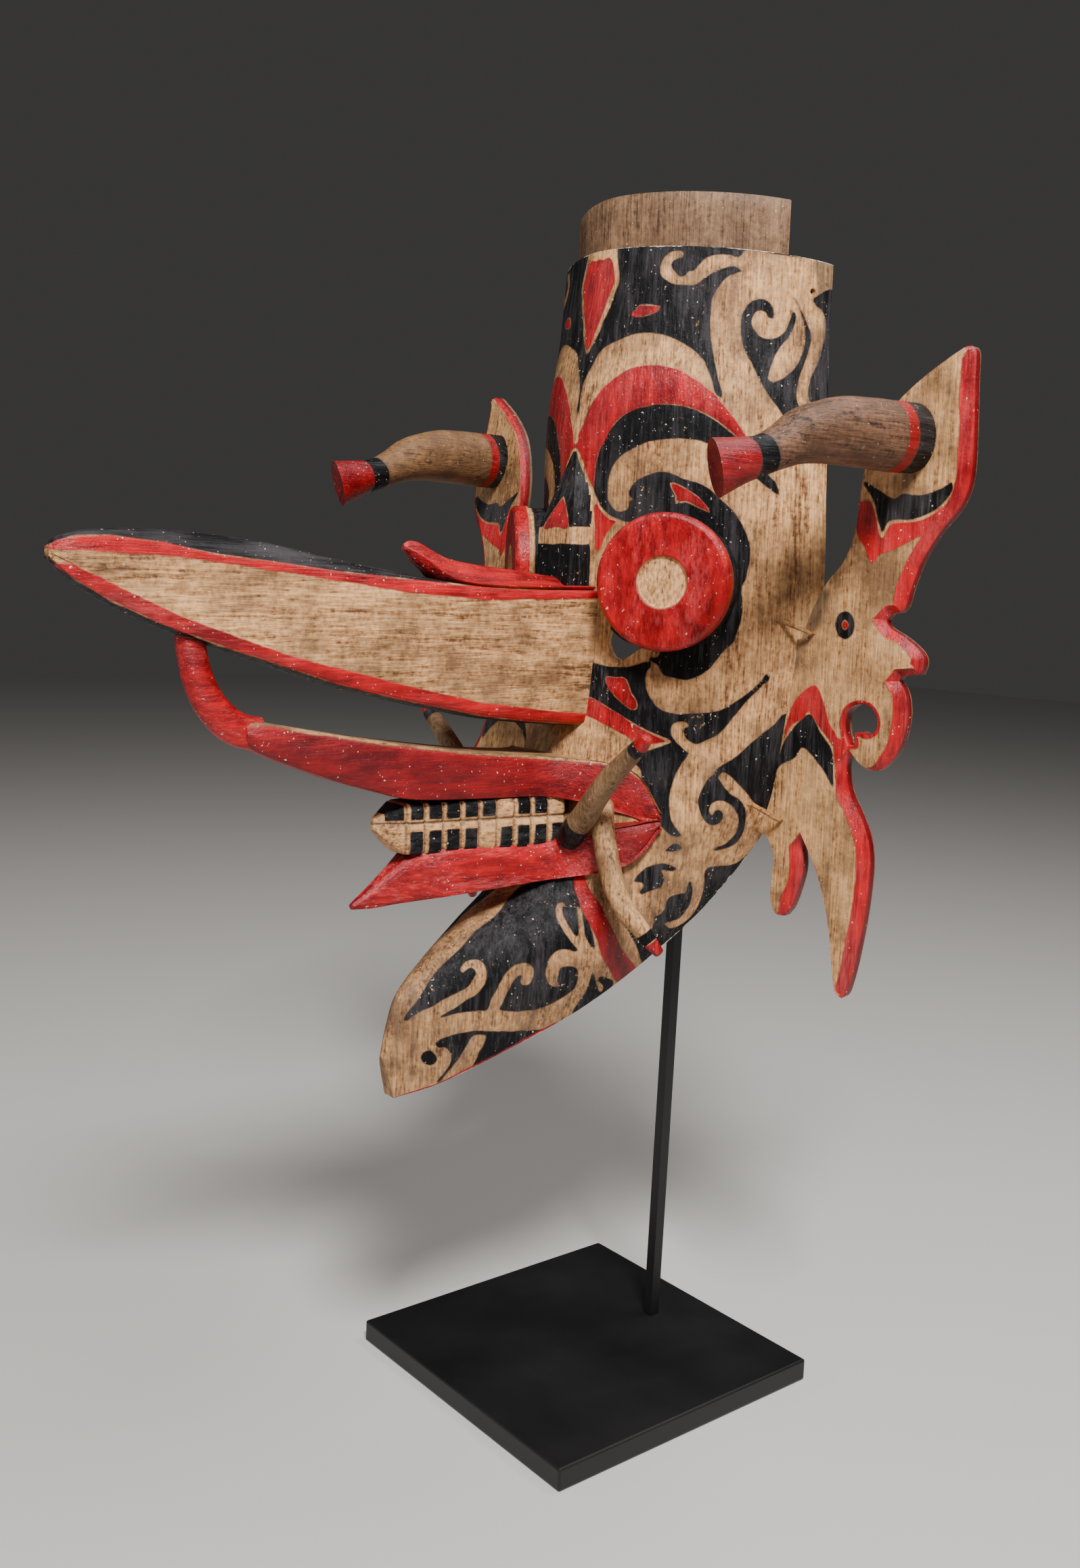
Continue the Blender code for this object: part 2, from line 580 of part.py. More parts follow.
def horn_solid(name, side, **look):
    """The drooping horn on an ear: oval, thick at the ear, flared at its cut end."""
    rows = through(HORN_PATH, 13) * MM
    out = HORN_ROOTS[side] + (HORN_TIP - HORN_ROOTS[side]) * rows[:, 0] / rows[-1, 0]
    path = np.array([ear_point(side, *place) for place in zip(out, -rows[:, 0], rows[:, 1])])
    across = ear_point(side, 1, 0, 0) - ear_point(side, 0, 0, 0)
    back = np.array(ear_point(side, 0, 1, 0) - ear_point(side, 0, 0, 0))
    up = np.array(ear_point(side, 0, 0, 1) - ear_point(side, 0, 0, 0))
    face = np.cross(np.array(across), up)
    rings = oval_tube(path, rows[:, 2], rows[:, 3], across, 12)
    rings[0] -= (((rings[0] - path[0]) @ face) / (back @ face))[:, None] * back
    return loft(rings, name, **look)


def tusk_solid(name, stations, side, **look):
    rows = through(stations, 11) * MM
    path = rows[:, :3] * (side, 1, 1) + (0, 0, BITE_LEVEL)
    return loft(oval_tube(path, rows[:, 3], rows[:, 3], (0, 1, 0), 10), name, **look)


def on_shell(point):
    """The point of the head's outer surface that is nearest to a point."""
    surface = head_rings(rows=90, around=121).reshape(-1, 3)
    return Vector(surface[np.argmin(np.linalg.norm(surface - np.array(point), axis=1))])


def tie_path(side, tie):
    """From inside the shell's hole, over a small bow, into the ear's hole."""
    shell, ear = [ear_point(side, u * MM, -forward * MM, z * MM) for u, forward, z in tie]
    shell = on_shell(shell)
    inward = ear_point(side, -1, 0, 0) - ear_point(side, 0, 0, 0)
    backward = ear_point(side, 0, 1, 0) - ear_point(side, 0, 0, 0)
    bow = (shell + ear) / 2 - (inward + backward).normalized() * TIE_BOW
    return [shell + inward * 5 * MM, shell - inward * 2.5 * MM, bow,
            ear - backward * 3 * MM, ear + backward * 6 * MM]


def hole_block(name, start, end, radius):
    path = np.array([start, end])
    return loft(oval_tube(path, np.full(2, radius), np.full(2, radius), (0, 0, 1), 10), name)


# Stand

def plate():
    half = PLATE_SIDE / 2
    thing = block("stand_base", (-half, -half, 0), (half, half, PLATE_THICK), **STEEL)
    bevel = thing.modifiers.new("bevel", "BEVEL")
    bevel.width = PLATE_BEVEL
    bevel.segments = 2
    return thing


def rod_at(height):
    return Vector((0, ROD_BACK + (height - PLATE_THICK) * np.tan(ROD_LEAN), height))


def bar(name, start, end, side):
    """A square bar between two points."""
    path = np.array([start, end])
    half = np.full(2, side / 2 * 2 ** 0.5)
    rings = oval_tube(path, half, half, (1, 1, 0.001), 4)
    return loft(rings, name, **STEEL)


def inner_front(height):
    """How far forward the hollow reaches on the middle plane at a height."""
    rings = hollow_rings(HEAD_WALL)
    middle = rings[::-1, rings.shape[1] // 2]
    return float(np.interp(height, middle[:, 2], middle[:, 1]))


def stand_rod():
    """Upright bar with two arms that end in pads against the inside of the mask."""
    rod = bar("stand_rod", rod_at(PLATE_THICK + GAP), rod_at(ARM_HEIGHTS[0] + ROD_SIDE / 2), ROD_SIDE)
    for number, height in enumerate(ARM_HEIGHTS):
        reach = inner_front(height) + PAD_THICK
        start = rod_at(height) + Vector((0, ROD_SIDE * 0.3, 0))
        end = Vector((0, reach - 0.5 * PAD_THICK, height))
        combine(rod, bar("arm_form_%d" % number, start, end, ROD_SIDE * 0.999), "UNION")
        turn = np.linspace(0, 2 * pi, 20, endpoint=False)
        rings = [[(PAD_RADIUS * cos(at), y, height + PAD_RADIUS * sin(at)) for at in turn]
                 for y in (reach - PAD_FORM_DEPTH, reach)]
        pad = loft(rings, "pad_form_%d" % number)
        combine(pad, loft(hollow_rings(HEAD_WALL + GAP), "pad_limit_%d" % number), "INTERSECT")
        combine(rod, pad, "UNION")
    return rod


def build():
    face = as_cutter(head_solid("face_form", -GAP))
    snout_form = as_cutter(snout_solid("snout_form", GAP))
    leaf_form = as_cutter(leaf_solid("leaf_form", GAP))
    mouth_form = as_cutter(mouth_solid("mouth_form", GAP))

    nose = nose_hull("nose_form")
    combine(nose, leaf_form, "DIFFERENCE")
    combine(nose, snout_form, "DIFFERENCE")

    head = head_solid("mask_head", **WOOD)
    combine(head, nose, "UNION")
    collar = crown_block("collar_form", COLLAR_STEP, -COLLAR_ROOT, COLLAR_HEIGHT)
    crown = HEAD_STATIONS[0]
    width, rim_y, level = crown[2] * MM, crown[3] * MM, crown[4] * MM
    behind = block("collar_back_form", (-width, rim_y - COLLAR_BACK_CUT, level - 2 * COLLAR_HEIGHT),
                   (width, rim_y + COLLAR_BACK_CUT, level + 2 * COLLAR_HEIGHT))
    combine(collar, behind, "DIFFERENCE")
    combine(head, collar, "UNION")
    combine(head, loft(hollow_rings(HEAD_WALL), "hollow_form"), "DIFFERENCE")

    snout = snout_solid("snout", **WOOD)
    combine(snout, face, "DIFFERENCE")
    leaf = leaf_solid("nose_leaf", **RED)
    combine(leaf, snout_form, "DIFFERENCE")
    combine(leaf, face, "DIFFERENCE")
    mouth = mouth_solid("mouth", **RED)
    combine(mouth, face, "DIFFERENCE")
    hook = hook_solid("tongue_hook", **RED)
    combine(hook, snout_form, "DIFFERENCE")
    combine(hook, mouth_form, "DIFFERENCE")

    for word, side in SIDES.items():
        combine(head, slit_block("slit_form_" + word, side), "DIFFERENCE")
        eye = eye_solid("eye_" + word, side)
        combine(eye, face, "DIFFERENCE")
        ear = ear_solid("ear_" + word, side, **WOOD)
        combine(ear, face, "DIFFERENCE")
        horn_solid("ear_horn_" + word, side, **HORN)
        for level, stations in (("upper", UPPER_TUSK), ("lower", LOWER_TUSK)):
            tusk = tusk_solid("tusk_%s_%s" % (level, word), stations, side, **WOOD)
            combine(tusk, mouth_form, "DIFFERENCE")
            combine(tusk, face, "DIFFERENCE")
        for level, tie in (("upper", UPPER_TIE), ("lower", LOWER_TIE)):
            path = tie_path(side, tie)
            inner_end, ear_end = path[0] + (path[0] - path[1]) * 2, path[-1] + (path[-1] - path[-2])
            combine(head, hole_block("shell_hole_form", inner_end, path[1], TIE_HOLE_RADIUS),
                    "DIFFERENCE")
            combine(ear, hole_block("ear_hole_form", path[-2], ear_end, TIE_HOLE_RADIUS),
                    "DIFFERENCE")
            smooth = through([tuple(point) for point in path], 9)
            rings = oval_tube(smooth, np.full(9, TIE_RADIUS), np.full(9, TIE_RADIUS), (0, 0, 1), 7)
            loft(rings, "tie_%s_%s" % (level, word), **RATTAN)
    plate()
    stand_rod()


for thing in list(bpy.data.objects):
    bpy.data.objects.remove(thing, do_unlink=True)
build()
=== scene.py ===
import bmesh
import bpy
import numpy as np
from mathutils import Matrix
from mathutils.bvhtree import BVHTree
from mathutils.geometry import delaunay_2d_cdt
from mathutils.kdtree import KDTree


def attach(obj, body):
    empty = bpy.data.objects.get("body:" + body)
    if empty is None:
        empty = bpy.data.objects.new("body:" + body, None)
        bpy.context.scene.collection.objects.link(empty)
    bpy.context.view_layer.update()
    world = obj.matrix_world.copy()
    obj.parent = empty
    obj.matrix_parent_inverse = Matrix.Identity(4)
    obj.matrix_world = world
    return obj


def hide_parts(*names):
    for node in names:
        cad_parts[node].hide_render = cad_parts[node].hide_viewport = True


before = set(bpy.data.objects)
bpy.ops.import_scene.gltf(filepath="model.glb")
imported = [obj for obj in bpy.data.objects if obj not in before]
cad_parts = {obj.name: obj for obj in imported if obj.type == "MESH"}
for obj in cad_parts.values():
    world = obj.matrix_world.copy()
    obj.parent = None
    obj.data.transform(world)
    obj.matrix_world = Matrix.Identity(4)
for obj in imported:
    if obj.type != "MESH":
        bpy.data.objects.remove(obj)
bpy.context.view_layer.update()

MM = 0.001

# Camera
# The camera stands at the mask's left front, a little above the middle, about a metre away, turned
# slightly down and a touch out of level. Every painted outline below is placed through it.
PHOTO_SIZE = np.array((1596, 2318))
CAMERA_PLACE = np.array((0.7352, -0.6429, 0.5474))
CAMERA_AZIMUTH, CAMERA_PITCH, CAMERA_ROLL = np.radians((51.304, 8.076, 1.845))
FOCAL_PIXELS = 2183.73
SENSOR = 36.0

camera_ahead = np.array((-np.sin(CAMERA_AZIMUTH) * np.cos(CAMERA_PITCH),
                         np.cos(CAMERA_AZIMUTH) * np.cos(CAMERA_PITCH), -np.sin(CAMERA_PITCH)))
level_right = np.array((np.cos(CAMERA_AZIMUTH), np.sin(CAMERA_AZIMUTH), 0.0))
level_up = np.cross(level_right, camera_ahead)
camera_right = np.cos(CAMERA_ROLL) * level_right + np.sin(CAMERA_ROLL) * level_up
camera_up = np.cos(CAMERA_ROLL) * level_up - np.sin(CAMERA_ROLL) * level_right

camera_data = bpy.data.cameras.new("camera")
camera_data.sensor_width = SENSOR
camera_data.sensor_fit = "AUTO"
camera_data.lens = SENSOR * FOCAL_PIXELS / PHOTO_SIZE[1]
camera = bpy.data.objects.new("camera", camera_data)
camera.matrix_world = Matrix([[*row] for row in np.vstack([
    np.column_stack([camera_right, camera_up, -camera_ahead, CAMERA_PLACE]), (0, 0, 0, 1)])])
bpy.context.scene.collection.objects.link(camera)
bpy.context.scene.camera = camera


def photo_pixels(points):
    """Where points show: their offset across the lens over their depth, times the focal length."""
    offset = points - CAMERA_PLACE
    depth = offset @ camera_ahead
    across = FOCAL_PIXELS * (offset @ camera_right) / depth
    rise = FOCAL_PIXELS * (offset @ camera_up) / depth
    return PHOTO_SIZE / 2 + np.column_stack([across, -rise])


# Mask head
# One block of pale softwood, hollowed from behind to a wall of about a centimetre and tapering to a
# long chin. Its face is painted in mineral black and a glossy red around scrolls of bare wood.
HEAD_STATIONS = np.array([
    # front y, front z, rim x, rim y, rim z, roundness
    (-19, 749, 108, 76, 740, 1.70), (-25, 700, 110, 74, 697, 1.65), (-33, 650, 114, 72, 649, 1.65),
    (-35, 600, 118, 70, 600, 1.57), (-36, 550, 121, 69.5, 550, 1.45), (-38, 502, 120, 68, 501, 1.50),
    (-42, 455, 113, 69, 455, 1.65), (-52, 410, 104, 61, 411, 1.75), (-63, 378, 91, 51.5, 379, 1.80),
    (-78, 350, 75.5, 21.5, 337, 1.80), (-111, 329, 59.5, -15.5, 302, 1.80),
    (-140.5, 308, 44, -53, 274, 1.80), (-160, 290, 28, -98, 251, 1.80),
    (-167.5, 272, 15, -138, 234, 1.80), (-172, 254, 5, -165, 227, 1.80),
])
LAST_STATION = len(HEAD_STATIONS) - 1
SHELL_WALL = 10.0
THROAT_INSET = 15.0           # how far in the hollow lies under the collar
THROAT_ENDS = 1.8             # station below which the hollow has its full width
HOLLOW_ENDS = LAST_STATION - 1.6
HEAD_ROWS = 300
FACE_COLUMNS, HOLLOW_COLUMNS, RIM_COLUMNS = 205, 61, 4
GOUGE_DEPTH = 0.7             # of the hollow's tool marks
PIXELS_PER_MM = 2.2
OUTSIDE = -60.0               # a painted outline further off than this many pixels is not measured


def curve_at(points, at, closed=False):
    """A smooth curve through points: each stretch blends its four nearest points by cubic weights."""
    rows = np.asarray(points, float)
    count = len(rows)
    if closed:
        padded = np.vstack([rows[-1:], rows, rows[:2]])
        first = np.minimum(at.astype(int), count - 1)
    else:
        padded = np.vstack([2 * rows[:1] - rows[1:2], rows, 2 * rows[-1:] - rows[-2:-1]])
        first = np.minimum(at.astype(int), count - 2)
    part = (at - first)[:, None]
    p0, p1, p2, p3 = (padded[first + step] for step in range(4))
    return 0.5 * (2 * p1 + (p2 - p0) * part + (2 * p0 - 5 * p1 + 4 * p2 - p3) * part ** 2
                  + (3 * p1 - p0 - 3 * p2 + p3) * part ** 3)


def head_surface(along, around, inset=0.0):
    """Half rings between the rims: across goes a rounded power of the sine times half the width,
    forwards the same power of the cosine times the depth. The inset draws both in."""
    front_y, front_z, rim_x, rim_y, rim_z, roundness = curve_at(HEAD_STATIONS, along).T[:, :, None]
    turn = np.asarray(around)[None, :] * np.pi / 2
    depth = np.hypot(front_y - rim_y, front_z - rim_z)
    inset = np.broadcast_to(inset, (len(along), turn.shape[1]))
    deep = np.abs(np.cos(turn)) ** (2 / roundness) * np.maximum(depth - inset, 1) / depth
    wide = np.sign(np.sin(turn)) * np.abs(np.sin(turn)) ** (2 / roundness)
    return np.stack([wide * np.maximum(rim_x - inset, 1), rim_y + deep * (front_y - rim_y),
                     rim_z + deep * (front_z - rim_z)], axis=2) * MM


def piece_from(name, points, faces, sharp=35):
    """A piece from points and faces: doubles merged, normals turned outwards, edges kept crisp
    where its faces meet by more than the sharp angle in degrees."""
    mesh = bpy.data.meshes.new(name)
    mesh.from_pydata(np.asarray(points, float).reshape(-1, 3).tolist(), [], faces)
    made = bmesh.new()
    made.from_mesh(mesh)
    bmesh.ops.remove_doubles(made, verts=made.verts, dist=1e-6)
    bmesh.ops.recalc_face_normals(made, faces=made.faces)
    made.to_mesh(mesh)
    made.free()
    mesh.shade_smooth()
    mesh.set_sharp_from_angle(angle=np.radians(sharp))
    piece = bpy.data.objects.new(name, mesh)
    bpy.context.scene.collection.objects.link(piece)
    return piece


def ring_faces(rows, columns):
    """The quads between neighbouring rings, whose last column meets the first."""
    here = np.arange((rows - 1) * columns).reshape(rows - 1, columns)
    beside = np.roll(here, -1, axis=1)
    return np.stack([here, beside, beside + columns, here + columns], axis=2).reshape(-1, 4).tolist()


def lofted(name, rings, sharp=35):
    """A closed piece over rings of points, with a flat face across each end."""
    rows, columns = rings.shape[:2]
    ends = [list(range(columns))[::-1], list(range((rows - 1) * columns, rows * columns))]
    return piece_from(name, rings, ring_faces(rows, columns) + ends, sharp)


def carve(piece, cutter, sharp=35):
    """Takes another object's form out of the piece and keeps the result as the piece's own mesh."""
    modifier = piece.modifiers.new("carve", "BOOLEAN")
    modifier.solver = "EXACT"
    modifier.operation = "DIFFERENCE"
    modifier.object = cutter
    graph = bpy.context.evaluated_depsgraph_get()
    made = bpy.data.meshes.new_from_object(piece.evaluated_get(graph))
    piece.modifiers.clear()
    piece.data = made
    made.shade_smooth()
    made.set_sharp_from_angle(angle=np.radians(sharp))
    return piece


def points_of(piece):
    """All the piece's points, one row each."""
    flat = np.empty(3 * len(piece.data.vertices))
    piece.data.vertices.foreach_get("co", flat)
    return flat.reshape(-1, 3)


def outline_distance(points, outline, steps=5, margin=24.0):
    """How far points lie inside (+) or outside (-) a closed smooth outline: the least distance to
    its short segments, with the sign of a crossing count."""
    count = len(outline)
    curve = curve_at(outline, np.arange(count * steps) / steps, closed=True)
    start, end = curve, np.roll(curve, -1, axis=0)
    result = np.full(len(points), OUTSIDE)
    near = np.all((points > curve.min(0) - margin) & (points < curve.max(0) + margin), axis=1)
    chosen = points[near]
    least = np.full(len(chosen), 1e9)
    crossings = np.zeros(len(chosen), int)
    for (ax, ay), (bx, by) in zip(start, end):
        px, py = chosen[:, 0] - ax, chosen[:, 1] - ay
        dx, dy = bx - ax, by - ay
        part = np.clip((px * dx + py * dy) / max(dx * dx + dy * dy, 1e-12), 0, 1)
        least = np.minimum(least, (px - part * dx) ** 2 + (py - part * dy) ** 2)
        if ay != by:
            crossings += ((py >= 0) != (py >= dy)) & (px < dx / dy * py)
    result[near] = np.sqrt(least) * np.where(crossings % 2, 1, -1)
    return result


def painted(points, layers):
    """Joins outlines in order: each one is added to the painted area, or cut out of it again."""
    total = np.full(len(points), OUTSIDE)
    for sign, outline in layers:
        distance = outline_distance(points, outline)
        total = np.maximum(total, distance) if sign == "+" else np.minimum(total, -distance)
    return total


UNPAINTED, PAINTED = -9.0, 9.0   # a painted distance far outside the paint, and one well inside it
# Besides the painted distances, a share darkens the wood towards dark brown and the red towards shaded red:
# real grime and smudges in some places, painted shade in others.
UNMARKED = {"black": UNPAINTED, "red": UNPAINTED, "soil": 0.0, "edge": 0.0}


def mark(piece, **values):
    """Keeps one number a point for the finish: painted distances in millimetres, or shares."""
    for name, absent in UNMARKED.items():
        layer = piece.data.attributes.new(name, "FLOAT", "POINT")
        data = np.broadcast_to(np.asarray(values.get(name, absent), float), (len(piece.data.vertices),))
        layer.data.foreach_set("value", np.ascontiguousarray(data))


def mirrored_pixels(piece):
    """Photograph pixels of a piece's points, with the far half taken as the near one's mirror."""
    points = points_of(piece)
    points[:, 0] = np.abs(points[:, 0])
    return photo_pixels(points)


# The painted outlines below are in photograph pixels.
CROWN_BLACK = [
    (828, 345), (1232, 345), (1225, 381), (1201, 380), (1184, 380.5), (1163, 378.6), (1129.5, 372.6),
    (1101, 370), (1097, 376), (1089, 380), (1077, 376.7), (1060.5, 376.7), (1046, 381),
    (1034, 390.5), (1024.8, 400), (1017.6, 401), (1011.7, 408), (1003, 408), (997, 401), (992, 395),
    (992.6, 387), (1001, 382), (1010.5, 378.6), (1008, 371), (996, 371), (986.7, 376), (979.5, 386),
    (976, 397.6), (978, 407), (986.7, 415.5), (996, 419), (1010.5, 421), (1027, 421), (1041, 412),
    (1058, 401), (1072, 395), (1084, 393), (1097, 399.5), (1089, 403.6), (1077, 408), (1065, 419),
    (1057, 431), (1052, 445), (1050.5, 464), (1049.8, 483), (1051, 502), (1054.5, 526),
    (1059, 547.6), (1065, 571), (1068.8, 588), (1067, 589), (1057, 581), (1053, 566.7), (1047, 550),
    (1040, 533), (1027, 519), (1010.5, 508), (991, 499), (972, 493), (953, 492), (932, 495.7),
    (913, 503.6), (896, 512), (884, 524), (876, 539), (867.6, 555), (861.7, 571), (858, 590),
    (853, 613), (828, 614),
]
CROWN_LEAF_RING = [
    (848, 356), (908, 356), (912, 371), (913, 388), (914.8, 407), (914, 419), (909, 433), (901, 455),
    (891, 476), (882, 498), (874, 514), (868, 524), (848, 520),
]
CROWN_LEAF = [
    (848, 384), (884, 383), (891, 384), (901, 380), (906, 386), (907.6, 393), (909, 405),
    (908.6, 417), (903, 431), (896, 450), (889, 469), (882, 486), (876, 502), (868, 516), (848, 512),
]
CROWN_LENS = [
    (933, 468), (938, 459.5), (946, 451), (963, 451), (977, 453.6), (972, 459.5), (963, 464),
    (948.6, 468),
]
ARCH_RED = [
    (830, 660), (852, 655), (855.7, 640.5), (864, 621), (871, 602), (882, 585.7), (896, 569),
    (913, 555), (929.5, 545), (951, 540), (972, 539), (991, 543), (1010.5, 550), (1029.5, 562),
    (1046, 574), (1058, 584.5), (1070, 600), (1082, 614), (1094, 631), (1104.5, 647.6), (1118, 668),
    (1106, 662), (1094, 650.5), (1079.5, 638), (1065, 626), (1051, 616.7), (1034, 608),
    (1017.6, 602), (996, 598), (975, 597.6), (953, 601), (934, 607), (917.6, 616.7), (903, 633),
    (894, 650), (885.5, 666.7), (880.5, 687.6), (878, 709), (877, 723), (866, 694.8), (859, 675.7),
    (850.7, 662), (830, 666),
]
ARCH_BLACK = [
    (877, 723), (878, 709), (880.5, 687.6), (885.5, 666.7), (894, 650), (903, 633), (917.6, 616.7),
    (934, 607), (953, 601), (975, 597.6), (996, 598), (1017.6, 602), (1034, 608), (1051, 616.7),
    (1065, 626), (1079.5, 638), (1094, 650.5), (1106, 662), (1118, 672), (1135, 702), (1147, 714),
    (1152, 734), (1137.6, 723), (1121, 710), (1100, 690), (1075, 671), (1049.5, 658),
    (1030.5, 650.7), (1006.7, 648), (983, 649), (959, 653), (940, 660), (925.7, 668.6),
    (913.8, 678), (905.5, 690), (899.5, 706.7), (898, 723), (898, 738), (903, 747), (909, 753.8),
    (916, 755.5), (925.7, 753.8), (934, 748), (940, 743), (944, 760), (930.5, 772), (913.8, 768),
    (899.5, 761), (888.8, 749.5), (881.7, 735),
]
SWIRL_BLACK = [
    (928, 728), (931.7, 722), (937.6, 713.8), (949.5, 705.5), (963.8, 699.5), (978, 697),
    (994.8, 700.7), (1011, 708), (1030.5, 713.8), (1047, 722), (1061, 734), (1075.7, 747),
    (1087.6, 760), (1097, 775.7), (1104, 792), (1109, 811), (1108, 828), (1104, 845), (1103, 855.5),
    (1097, 868.6), (1098, 890), (1097, 911), (1090.5, 930), (1084.5, 949), (1071, 961),
    (1059.5, 975), (1050, 987), (1038, 996.7), (1026, 1002.6), (1014, 1005.5), (1002, 1003.8),
    (990.5, 1000.7), (982, 998), (977, 992), (974, 985), (969, 981), (958, 972), (975, 950),
    (930, 760), (938.8, 741), (930.5, 735),
]
SWIRL_RED = [
    (991, 715), (996, 713.8), (1006.7, 718.6), (1021, 727), (1035, 737.6), (1049.5, 756.7),
    (1040, 754), (1028, 748), (1016, 742), (1006.7, 742), (997, 743), (999.5, 735), (994.8, 725.7),
]
DRUM_SIDE_RED = [
    (880.5, 742), (887.6, 754), (899.5, 766), (911, 770), (904, 778), (894.8, 792), (888.8, 806.7),
    (883, 815), (879, 806.7), (877, 783), (877, 760),
]
TEMPLE_BLACK = [
    (1142.6, 471), (1144, 462), (1141, 452), (1134, 445), (1125, 442), (1114, 444), (1104.5, 451),
    (1097, 463), (1094, 478.6), (1095, 495), (1098.6, 512), (1105.7, 528.6), (1115, 547.6),
    (1127, 569), (1139, 588), (1151, 605), (1163, 621), (1184, 609.5), (1178, 593), (1177, 576),
    (1182, 555), (1189, 538), (1195, 519), (1198.6, 502), (1196, 485.7), (1190, 471), (1184, 455),
    (1177, 441.7), (1171, 438), (1177, 450), (1183, 464), (1188.6, 481), (1190, 497.6),
    (1188.6, 512), (1184, 526), (1177, 540.5), (1167.6, 552), (1155.7, 560.7), (1142.6, 565),
    (1134.8, 560.7), (1136.7, 552), (1140, 540.5), (1146, 526), (1155.7, 512), (1165, 500),
    (1172, 485.7), (1176.7, 469), (1173.6, 459.5), (1170, 462), (1166, 476), (1160.5, 488),
    (1151, 496), (1139, 500.5), (1127, 498.8), (1117.6, 491.7), (1111.7, 481), (1112, 470),
    (1117.6, 462), (1126, 459), (1132, 463), (1134, 469),
]
RIM_BLACK = [
    (1203, 440), (1205.7, 452), (1215, 459.5), (1219.5, 474), (1220, 493), (1216, 512),
    (1210.5, 531), (1203, 547.6), (1196, 564), (1194, 578.6), (1196, 593), (1201, 603), (1240, 610),
    (1240, 440),
]
RIM_FADED = [
    (1198, 392), (1240, 385), (1240, 640), (1204, 600), (1196, 560), (1214, 500), (1212, 462),
    (1205, 440), (1208, 415),
]
CHEEK_BLACK = [
    (840, 985), (872, 980), (900, 985), (930, 985), (955, 978), (964, 983), (956, 992), (954, 1004),
    (955, 1016), (958, 1025), (963, 1035), (969, 1043), (978.6, 1050), (990.5, 1054), (1005, 1056),
    (1021, 1055.5), (1038, 1055), (1055, 1052.6), (1066.7, 1049), (1078.6, 1043), (1090.5, 1035),
    (1102, 1026), (1114, 1017), (1124, 1007), (1132, 996.7), (1138, 999), (1136, 1006),
    (1128.6, 1012), (1116.7, 1024), (1102, 1039.5), (1088, 1056), (1074, 1073), (1059.5, 1087),
    (1045, 1094), (1033, 1100), (1024, 1099), (1014, 1092), (1010, 1082), (1012, 1076),
    (1019, 1075), (1016.7, 1068), (1007, 1067), (997.6, 1069), (993, 1074), (992, 1082),
    (995, 1089.5), (1002, 1099), (1012, 1108.6), (1019, 1114.5), (1014, 1120), (1007, 1130),
    (1000, 1142), (994, 1158.6), (990.5, 1173), (989, 1189.5), (990.5, 1204), (993, 1213),
    (1000, 1225), (1007, 1236), (990, 1234), (974, 1216), (969, 1200), (962, 1199), (955, 1177.6),
    (950, 1158.6), (945, 1137), (930, 1120), (962, 1108), (984, 1100), (990, 1095), (957, 1080),
    (921, 1060), (885.7, 1038), (868, 1030), (840, 1030),
]
CHEEK_PETAL = [
    (894.8, 1001.4), (910, 1001.5), (923.8, 1002.6), (929.8, 1015.7), (933, 1025), (940, 1035),
    (941, 1047), (933, 1049), (921, 1040.7), (909.5, 1030), (900, 1018),
]
CHEEK_STRAP_RED = [
    (855, 1032), (871, 1031), (885.7, 1038), (902, 1048), (921, 1060), (940.5, 1073), (957, 1082),
    (974, 1089.5), (990.5, 1094.8), (969, 1099.5), (950, 1098), (933, 1092), (909.5, 1079),
    (885.7, 1067), (862, 1056), (850, 1050),
]
JAW_BLACK = [
    (1159.5, 1055), (1147.6, 1067), (1135.7, 1077.6), (1121, 1089.5), (1107, 1101), (1093, 1113),
    (1078.6, 1124), (1064, 1133.6), (1055, 1144), (1062, 1146), (1069, 1141), (1078.6, 1146.7),
    (1090.5, 1158.6), (1102, 1170.5), (1110, 1183), (1118, 1190), (1127, 1195), (1150, 1195),
    (1175, 1120), (1185, 1060),
]
SCROLL_BLACK = [
    (1055, 1146), (1046, 1153), (1040, 1161), (1034, 1173), (1031, 1185), (1033, 1197), (1038, 1208.6),
    (1045, 1217), (1053, 1220), (1062, 1217), (1068, 1210), (1068.5, 1202), (1063, 1197),
    (1056.5, 1199), (1053, 1205), (1048, 1200), (1051, 1190), (1058, 1185), (1068, 1184.5),
    (1079, 1190), (1087, 1199), (1091, 1212), (1089, 1226), (1081, 1239), (1068, 1249),
    (1055, 1258), (1066, 1256), (1080, 1248), (1092, 1236), (1100, 1221), (1103, 1205),
    (1099, 1190), (1091, 1180), (1080, 1174), (1069, 1161), (1061, 1150),
]
